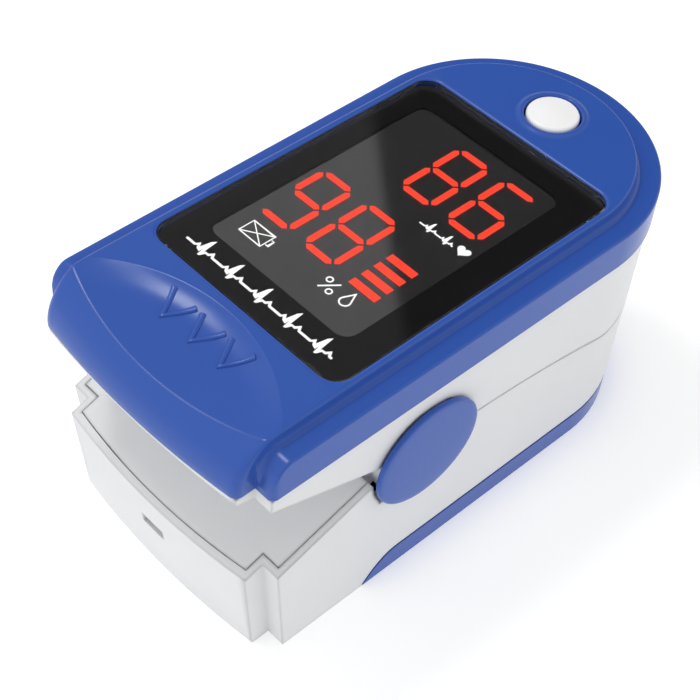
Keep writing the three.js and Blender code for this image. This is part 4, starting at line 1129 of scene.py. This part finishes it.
def finger_pad(node, name, body):
    """Soft pad with a long finger channel, a bowl at its closed end, grip ripples and a sensor seat."""
    low, high = span(node)
    facing = 1 if node.startswith("lower") else -1
    base, rim = (low[2], high[2]) if facing > 0 else (high[2], low[2])
    depth = abs(rim - base)
    start, half = low[1], high[0]
    rear_radius = FRONT_HALF - 0.75
    sensor_low, sensor_high = span("detector_window" if facing > 0 else "emitter_window")
    seat_x = sensor_high[0] + SEAT_GAP
    seat_y0, seat_y1 = sensor_low[1] - SEAT_GAP, sensor_high[1] + SEAT_GAP

    def rear(x):
        return REAR_CENTRE + math.sqrt(max(0.0, rear_radius ** 2 - x * x)) - 0.15

    def height(x, y, edge):
        drop = PAD_FLOOR + CHANNEL_RADIUS - math.sqrt(max(0.0, CHANNEL_RADIUS ** 2 - x * x))
        bowl = smooth((y - start - 1.1) / 3.2)
        top = lerp(depth, min(depth, drop), bowl)
        mouth = smooth((y - (rear(0) - 5.0)) / 5.0)
        top -= 0.35 * mouth * (top - 0.6)
        on_channel = bowl * (1 - smooth((abs(x) - 6.2) / 1.2))
        clear = smooth((abs(y - (seat_y0 + seat_y1) / 2) - 5.0) / 0.8)
        ripple = 0.5 + 0.5 * math.cos(2 * math.pi * (y - start) / RIPPLE_PITCH)
        top += RIPPLE_HEIGHT * on_channel * clear * ripple * (1 - mouth)
        crown = 0.16 * smooth((abs(x) - 7.0) / 1.5) * (1 - smooth((abs(x) - 9.4) / 1.4)) * (1 - mouth)
        top = min(top + crown - 0.1 * (abs(x) > 7.0), depth)
        if edge < PAD_LIP:
            top -= PAD_LIP - math.sqrt(max(0.0, PAD_LIP ** 2 - (PAD_LIP - edge) ** 2))
        if abs(x) < seat_x + 1e-6 and seat_y0 - 1e-6 < y < seat_y1 + 1e-6:
            top = min(top, PAD_SEAT)
        return max(top, 0.3)

    columns = [half - 0.05, half - 0.12, half - 0.25, half - 0.45, half - 0.75, half - 1.2]
    columns += [lerp(half - 1.2, seat_x + 0.1, i / 14) for i in range(1, 15)]
    columns += [seat_x, seat_x * 0.66, seat_x * 0.33]
    columns = columns + [0.0] + [-x for x in reversed(columns)]
    rows = [0.03, 0.1, 0.25, 0.5, 0.8, 1.2]
    steps = int((seat_y0 - start - 1.3) / ROW_STEP)
    rows += [lerp(1.3, seat_y0 - start - 0.08, i / steps) for i in range(steps)]
    rows += [seat_y0 - start - 0.08, seat_y0 - start, (seat_y0 + seat_y1) / 2 - start, seat_y1 - start]
    rows.append(seat_y1 - start + 0.08)
    steps = int((PAD_STRAIGHT - rows[-1]) / ROW_STEP)
    rows += [lerp(rows[-1], PAD_STRAIGHT, i / steps) for i in range(1, steps + 1)]
    tail = [i / 26 for i in range(1, 24)] + [0.925, 0.955, 0.98, 0.993, 1.0]
    grid = []
    mesh = bmesh.new()
    for index, row in enumerate(rows + tail):
        line = []
        for x in columns:
            if index < len(rows):
                y = start + row
                px = x
                edge = min(row, half - abs(px))
            else:
                narrowing = lerp(1.0, 0.875, smooth(row * 1.8))
                px = x * narrowing
                y = lerp(start + PAD_STRAIGHT, rear(px), row)
                edge = min(half * narrowing - abs(px), rear(px) - y)
            line.append((px, y, base + facing * height(px, y, edge + 0.03)))
        grid.append(line)
    add_loops(mesh, grid, closed=False)
    border = [line[0] for line in grid] + grid[-1][1:] + [line[-1] for line in reversed(grid[:-1])]
    border += list(reversed(grid[0][1:-1]))
    skirt = [(x, y, base + facing * 0.1) for x, y, _ in border]
    foot = [(x * 0.995, lerp(y, 13.0, 0.004), base) for x, y, _ in border]
    add_loops(mesh, [border, skirt, foot])
    add_cap(mesh, [foot])
    obj = piece(name, mesh, SILICONE, body, [node], sharp=70)


finger_pad("lower_finger_pad", "lower_pad_soft", "lower_body")
finger_pad("upper_finger_pad", "upper_pad_soft", "upper_body")


# ---- battery bay ----------------------------------------------------------------------
CELL_X = 5.5
POCKET_DEPTH = 0.45


def dry_cell(node):
    """AAA cell: sleeved can with crimped ends, a flat negative end and a nubbed positive end."""
    low, high = span(node)
    x, _, z = middle(node)
    radius = (high[0] - low[0]) / 2
    length = high[1] - low[1]
    negative = [(0, 0.12), (2.6, 0.12), (2.9, 0.25), (3.9, 0.25), (4.5, 0.0), (radius - 0.25, 0.0),
                (radius, 0.25), (radius, 1.1), (radius - 0.05, 1.2)]
    positive = [(radius - 0.05, 2.4), (radius, 2.3), (radius, 1.4), (radius - 0.3, 1.1), (4.3, 1.05),
                (3.9, 1.3), (2.6, 1.25), (2.1, 1.0), (1.9, 0.2), (1.7, 0), (0, 0)]
    profile = negative + [(r, length - h) for r, h in positive]

    def place(h):
        return low[1] + h if node == "battery_left" else high[1] - h

    sleeve = bmesh.new()
    add_lathe(sleeve, [(r, place(h)) for r, h in profile], 56, "y", (x, 0, z))
    obj = piece(node + "_cell", sleeve, SLEEVE, "lower_body", [node], sharp=30)
    obj.data.materials.append(NICKEL)
    ends = (place(1.15) * MM, place(length - 1.5) * MM)
    for polygon in obj.data.polygons:
        y = polygon.center.y
        if y < min(ends) or y > max(ends):
            polygon.material_index = 1


def conical_spring(node, name, cell, wide_first):
    """Contact spring that narrows towards the end of its cell."""
    low, high = span(node)
    gauge = 0.24
    x = math.copysign(CELL_X, middle(cell)[0])
    z = middle(cell)[2]
    turns = 3.5 if high[1] - low[1] > 1.5 else 2.5
    points = []
    for i in range(int(turns * 24) + 1):
        t = i / (turns * 24)
        radius = lerp(3.2, 1.7, t if wide_first else 1 - t)
        angle = 2 * math.pi * turns * t
        points.append((x + radius * math.cos(angle), lerp(low[1] + gauge, high[1] - gauge, t),
                       z + radius * math.sin(angle)))
    wire(name, points, gauge, NICKEL, node)


def coil_spring(side, node):
    """Torsion spring round a hinge pin, with one leg up and one leg forward."""
    low, high = span(node)
    gauge = 0.35
    start = side * (max(abs(low[0]), abs(high[0])) - gauge)
    y, z = HINGE_Y, HINGE_Z
    pitch, turns, steps, radius = 2 * gauge + 0.15, 2.5, 30, 2.4
    points = eased([(start, y - 2.8, z + 3.9), (start, y - 1.3, z + 2.6)], 4)
    for i in range(1, int(turns * steps) + 1):
        angle = math.pi / 2 - 2 * math.pi * i / steps
        points.append((start - side * pitch * i / steps,
                       y + radius * math.cos(angle), z + radius * math.sin(angle)))
    points.append((start - side * pitch * turns, y - 1.8, z - 2.5))
    points.append((start - side * pitch * turns, y - 3.7, z - 2.2))
    wire(node + "_wire", points, gauge, STEEL, node)


dry_cell("battery_left")
dry_cell("battery_right")
conical_spring("contact_spring_front", "front_spring_wire", "battery_left", True)
conical_spring("contact_spring_rear", "rear_spring_wire", "battery_right", False)
coil_spring(-1, "torsion_spring_left")
coil_spring(1, "torsion_spring_right")


def contact_plate(node):
    """Stamped contact: thin plate with eased corners and a pressed ring for each cell it meets."""
    low, high = span(node)
    x, _, z = middle(node)
    half_x, half_z = (high[0] - low[0]) / 2, (high[2] - low[2]) / 2
    outline = rounded_rectangle(-half_x, half_x, -half_z, half_z, 0.8)
    mesh = bmesh.new()
    rows = []
    for inset, y in ((0.06, low[1]), (0.0, low[1] + 0.06), (0.0, high[1] - 0.06), (0.06, high[1])):
        rows.append([(x + u * (1 - inset / half_x), y, z + v * (1 - inset / half_z)) for u, v in outline])
    add_closed(mesh, rows)
    ring = [(0, 0.04), (0.9, 0.05), (1.15, 0.12), (1.4, 0.1), (1.6, -0.05), (1.6, -0.3), (0, -0.3)]
    for centre in [x] if half_x < 6 else [-CELL_X, CELL_X]:
        add_lathe(mesh, [(radius, high[1] + rise) for radius, rise in ring], 32, "y", (centre, 0, z))
    piece(node + "_plate", mesh, NICKEL, "lower_body", [node], sharp=40)


for contact in ("negative_contact", "positive_contact", "bridge_contact"):
    contact_plate(contact)


def cut_away(obj, mesh):
    """Cut a shape given in millimetres out of a piece."""
    bmesh.ops.recalc_face_normals(mesh, faces=mesh.faces)
    cutter = new_object("cutter", mesh_data("cutter", mesh))
    modifier = obj.modifiers.new("cut", "BOOLEAN")
    modifier.operation = "DIFFERENCE"
    modifier.solver = "EXACT"
    modifier.use_self = True
    modifier.object = cutter
    obj.data = modified_mesh(obj)
    obj.modifiers.clear()
    bpy.data.objects.remove(cutter)


def battery_door():
    """Sliding cover with a thumb pocket, grip ribs in it and an arrow that shows which way it opens."""
    obj = dressed("battery_cover", "battery_door", BLUE_PLASTIC, "battery_door",
                  weighted=False)
    pocket = bmesh.new()
    thumb = rounded_rectangle(-8.0, 8.0, -13.5, -5.5, 2.0)
    arrow = [(-3.0, -3.6), (3.0, -3.6), (0.0, 0.6)]
    for outline in (thumb, arrow):
        add_closed(pocket, [at(outline, -1.0), at(outline, POCKET_DEPTH)])
    cut_away(obj, pocket)
    rib = bmesh.new()
    root = POCKET_DEPTH + 0.1
    half = [(0.42, root), (0.42, 0.3), (0.3, 0.12), (0.1, 0.04)]
    profile = [(-y, z) for y, z in half] + half[::-1]
    rows = []
    for x, shrink in ((-6.4, 0.35), (-6.1, 0.8), (-5.8, 1.0), (5.8, 1.0), (6.1, 0.8), (6.4, 0.35)):
        rows.append([(x, -12.0 + y * shrink, lerp(root, z, shrink)) for y, z in profile])
    add_closed(rib, rows)
    inputs = {"Count": 4, "Step": (0.0, 1.67 * MM, 0.0), "Material": BLUE_PLASTIC}
    data = mesh_data("rib", rib)
    grown("battery_door_ribs", data, ROW, ROW_IDS, inputs, "battery_door", ())


battery_door()


# ---- screws, pins and electronics -----------------------------------------------------
def screw(node, body, head_down):
    """Pan-head screw with a cross recess and a rolled thread."""
    low, high = span(node)
    x, y, _ = middle(node)
    head = (high[0] - low[0]) / 2
    length = high[2] - low[2]

    def place(h):
        return low[2] + h if head_down else high[2] - h

    profile = [(0, 0.03), (head * 0.55, 0.05), (head * 0.85, 0.16), (head, 0.4), (head, 0.7),
               (head - 0.1, 0.8), (0.5, 0.82)]
    pitch = 0.55
    count = int((length - 1.7) / pitch)
    for i in range(count):
        h = 0.95 + i * pitch
        profile += [(0.44, h), (0.6, h + pitch * 0.3), (0.6, h + pitch * 0.42), (0.44, h + pitch * 0.75)]
    profile += [(0.4, length - 0.6), (0.12, length - 0.02), (0, length)]
    mesh = bmesh.new()
    add_lathe(mesh, [(r, place(h)) for r, h in profile], 28, "z", (x, y, 0))
    obj = piece(node + "_turned", mesh, STEEL, body, [node], sharp=35, weighted=False)
    cross = bmesh.new()
    for half_x, half_y in ((0.72, 0.14), (0.14, 0.72)):
        slot = bmesh.ops.create_cube(cross, size=2.0)
        bmesh.ops.scale(cross, vec=(half_x, half_y, 0.42), verts=slot["verts"])
    bmesh.ops.translate(cross, vec=(x, y, place(0.0)), verts=cross.verts)
    cut_away(obj, cross)


for side in ("left", "right"):
    for end in ("front", "rear"):
        screw(f"frame_screw_{end}_{side}", "lower_body", False)
        screw(f"cover_screw_{end}_{side}", "upper_body", True)


def hinge_pin(node):
    """Turned pin with chamfered ends."""
    low, high = span(node)
    _, y, z = middle(node)
    radius = (high[2] - low[2]) / 2
    chamfer = 0.25
    mesh = bmesh.new()
    profile = [(0, low[0]), (radius - chamfer, low[0]), (radius, low[0] + chamfer),
               (radius, high[0] - chamfer), (radius - chamfer, high[0]), (0, high[0])]
    add_lathe(mesh, profile, 40, "x", (0, y, z))
    piece(node + "_turned", mesh, STEEL, "lower_body", [node], sharp=30)


hinge_pin("hinge_pin_left")
hinge_pin("hinge_pin_right")


def add_box(mesh, x0, x1, y0, y1, z0, z1, ease):
    """A small package that stands on z0 and has eased edges at z1."""
    corners = [(x0, y0), (x1, y0), (x1, y1), (x0, y1)]
    inner = [(x0 + ease, y0 + ease), (x1 - ease, y0 + ease), (x1 - ease, y1 - ease), (x0 + ease, y1 - ease)]
    shoulder = z1 - math.copysign(ease, z1 - z0)
    add_closed(mesh, [at(corners, z0), at(corners, shoulder), at(inner, z1)])


def board_parts():
    """Chips and small two-ended parts on the underside of the main board."""
    under = span("main_board")[0][2]
    chips = bmesh.new()
    add_box(chips, -3.4, 3.4, 6.0, 12.8, under, under - 0.35, 0.1)
    add_box(chips, -6.8, -3.8, -8.0, -4.5, under, under - 0.35, 0.1)
    piece("board_chips", chips, BLACK_PLASTIC, "upper_body", sharp=30)
    ends = bmesh.new()
    for row in range(6):
        for column in range(3):
            x = 4.6 + column * 1.6
            y = -12.0 + row * 3.1 + 0.4 * ((row + column) % 2)
            add_box(ends, x - 0.4, x + 0.4, y - 0.7, y + 0.7, under, under - 0.3, 0.06)
    piece("board_chip_parts", ends, LED_PACKAGE, "upper_body", sharp=30)


board_parts()


def ribbon():
    """Flat film cable from the detector board up past the hinge."""
    low, high = span("ribbon_cable")
    y, foot = low[1] + 0.2, low[2]
    half_width, half_thick = 2, 0.09
    path = [(high[1], foot + 0.2), (y + 2.6, foot + 0.2), (y + 0.75, foot + 0.75), (y + 0.1, foot + 2.4),
            (y, foot + 5.0), (y, high[2] - 3.0), (y, high[2])]
    line = eased([(0, v, w) for v, w in path], 6)
    mesh = bmesh.new()
    rows = []
    for i, point in enumerate(line):
        before, after = line[max(i - 1, 0)], line[min(i + 1, len(line) - 1)]
        along = (after - before).normalized()
        normal = Vector((0, -along.z, along.y)) * half_thick
        across = range(-half_width, half_width + 1)
        under, over = point - normal, point + normal
        rows.append([(x, under.y, under.z) for x in across]
                    + [(x, over.y, over.z) for x in reversed(across)])
    add_closed(mesh, rows)
    obj = piece("ribbon_film", mesh, FILM, None, ["ribbon_cable"], sharp=60, weighted=False)
    y * MM
    y * MM
    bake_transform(obj)


ribbon()

dressed("battery_frame", "battery_frame_tray", FRAME_PLASTIC, "lower_body")
dressed("main_board", "main_board_laminate", BOARD, "upper_body")
dressed("detector_board", "detector_board_laminate", BOARD, "lower_body")
dressed("switch_body", "switch_can", STEEL, "upper_body")
dressed("switch_plunger", "switch_plunger_post", BLACK_PLASTIC, "button")
dressed("emitter_window", "emitter_pane", GLASS, "upper_body")
dressed("detector_window", "detector_pane", GLASS, "lower_body")
dressed("led_emitter", "led_emitter_case", LED_PACKAGE, "upper_body")
dressed("photodiode", "photodiode_case", BLACK_PLASTIC, "lower_body")


# ---- camera, light and floor ----------------------------------------------------------
CAMERA_PLACE = Vector((72.54, -81.79, 129.11))
CAMERA_RIGHT = Vector((0.68269, 0.72812, 0.06143))
CAMERA_UP = Vector((-0.56538, 0.47310, 0.67567))
CAMERA_BACK = Vector((0.46290, -0.49601, 0.73464))
KEY_PLACE = Vector((-165, -65, 395))
KEY_TARGET = Vector((0, -10, 20))
KEY_SIZE = (110, 90)
BEHIND = (-0.49, 0.56, 0.67)
LINE_ACROSS_LENS = (0.6142, 0.7686, -0.1792)
RIGHT_SIDE = (0.82, -0.54, 0.2)


def set_camera():
    """Camera with a long lens, over the nose's right corner."""
    data = bpy.data.cameras.new("camera")
    data.sensor_width = 36
    data.lens = 80.85
    camera = new_object("camera", data)
    turn = Matrix((CAMERA_RIGHT, CAMERA_UP, CAMERA_BACK)).transposed().to_4x4()
    camera.matrix_world = Matrix.Translation(CAMERA_PLACE * MM) @ turn
    bpy.context.scene.camera = camera


def set_key_light():
    """Soft box high on the left."""
    data = bpy.data.lights.new("key", "AREA")
    data.shape = "RECTANGLE"
    data.size, data.size_y = KEY_SIZE[0] * MM, KEY_SIZE[1] * MM
    data.energy = 0.42
    light = new_object("key", data)
    light.location = KEY_PLACE * MM
    light.rotation_euler = (KEY_TARGET - KEY_PLACE).to_track_quat("-Z", "Y").to_euler()


def set_room():
    """White room light that comes weaker from some directions.

    The stretch behind the object is dim, so that its glossy lens reads dark. Part of it is lighter, and
    that part's edge is the slanting line in the lens. A weaker dim stretch shades the right side.
    """
    world = bpy.data.worlds.new("room")
    world.use_nodes = True
    tree = world.node_tree
    background = tree.nodes["Background"]
    place = tree.nodes.new("ShaderNodeTexCoord")

    def stretch(toward, start, end, bright, dark):
        along = tree.nodes.new("ShaderNodeVectorMath")
        along.operation = "DOT_PRODUCT"
        along.inputs[1].default_value = toward
        level = tree.nodes.new("ShaderNodeMapRange")
        for name, value in zip(("From Min", "From Max", "To Min", "To Max"), (start, end, bright, dark)):
            level.inputs[name].default_value = value
        tree.links.new(place.outputs["Generated"], along.inputs[0])
        tree.links.new(along.outputs["Value"], level.inputs["Value"])
        return level.outputs["Result"]

    choose = tree.nodes.new("ShaderNodeMix")
    tree.links.new(stretch(LINE_ACROSS_LENS, -0.004, 0.004, 0.0, 1.0), choose.inputs["Factor"])
    tree.links.new(stretch(BEHIND, 0.76, 0.93, 0.92, 0.5), choose.inputs["A"])
    tree.links.new(stretch(BEHIND, 0.76, 0.93, 0.92, 0.11), choose.inputs["B"])
    strength = tree.nodes.new("ShaderNodeMath")
    strength.operation = "MULTIPLY"
    tree.links.new(choose.outputs["Result"], strength.inputs[0])
    tree.links.new(stretch(RIGHT_SIDE, 0.1, 0.85, 1.0, 0.74), strength.inputs[1])
    tree.links.new(strength.outputs[0], background.inputs["Strength"])
    background.inputs["Color"].default_value = (1.0, 1.0, 1.0, 1.0)
    bpy.context.scene.world = world
    bpy.context.scene.view_settings.view_transform = "Standard"


def set_floor():
    """White paper that glows a little of itself."""
    mesh = bmesh.new()
    bmesh.ops.create_grid(mesh, x_segments=8, y_segments=8, size=3.0)
    data = bpy.data.meshes.new("floor")
    mesh.to_mesh(data)
    mesh.free()
    s = Shader("floor_paper")
    values = {"Base Color": s.mix(s.noise(0.02), (0.93, 0.93, 0.93, 1), (0.96, 0.96, 0.96, 1)),
              "Roughness": 0.9, "Emission Color": (1, 1, 1, 1), "Emission Strength": 0.3}
    data.materials.append(s.finish(values))
    new_object("floor", data)


set_camera()
set_room()
set_key_light()
set_floor()
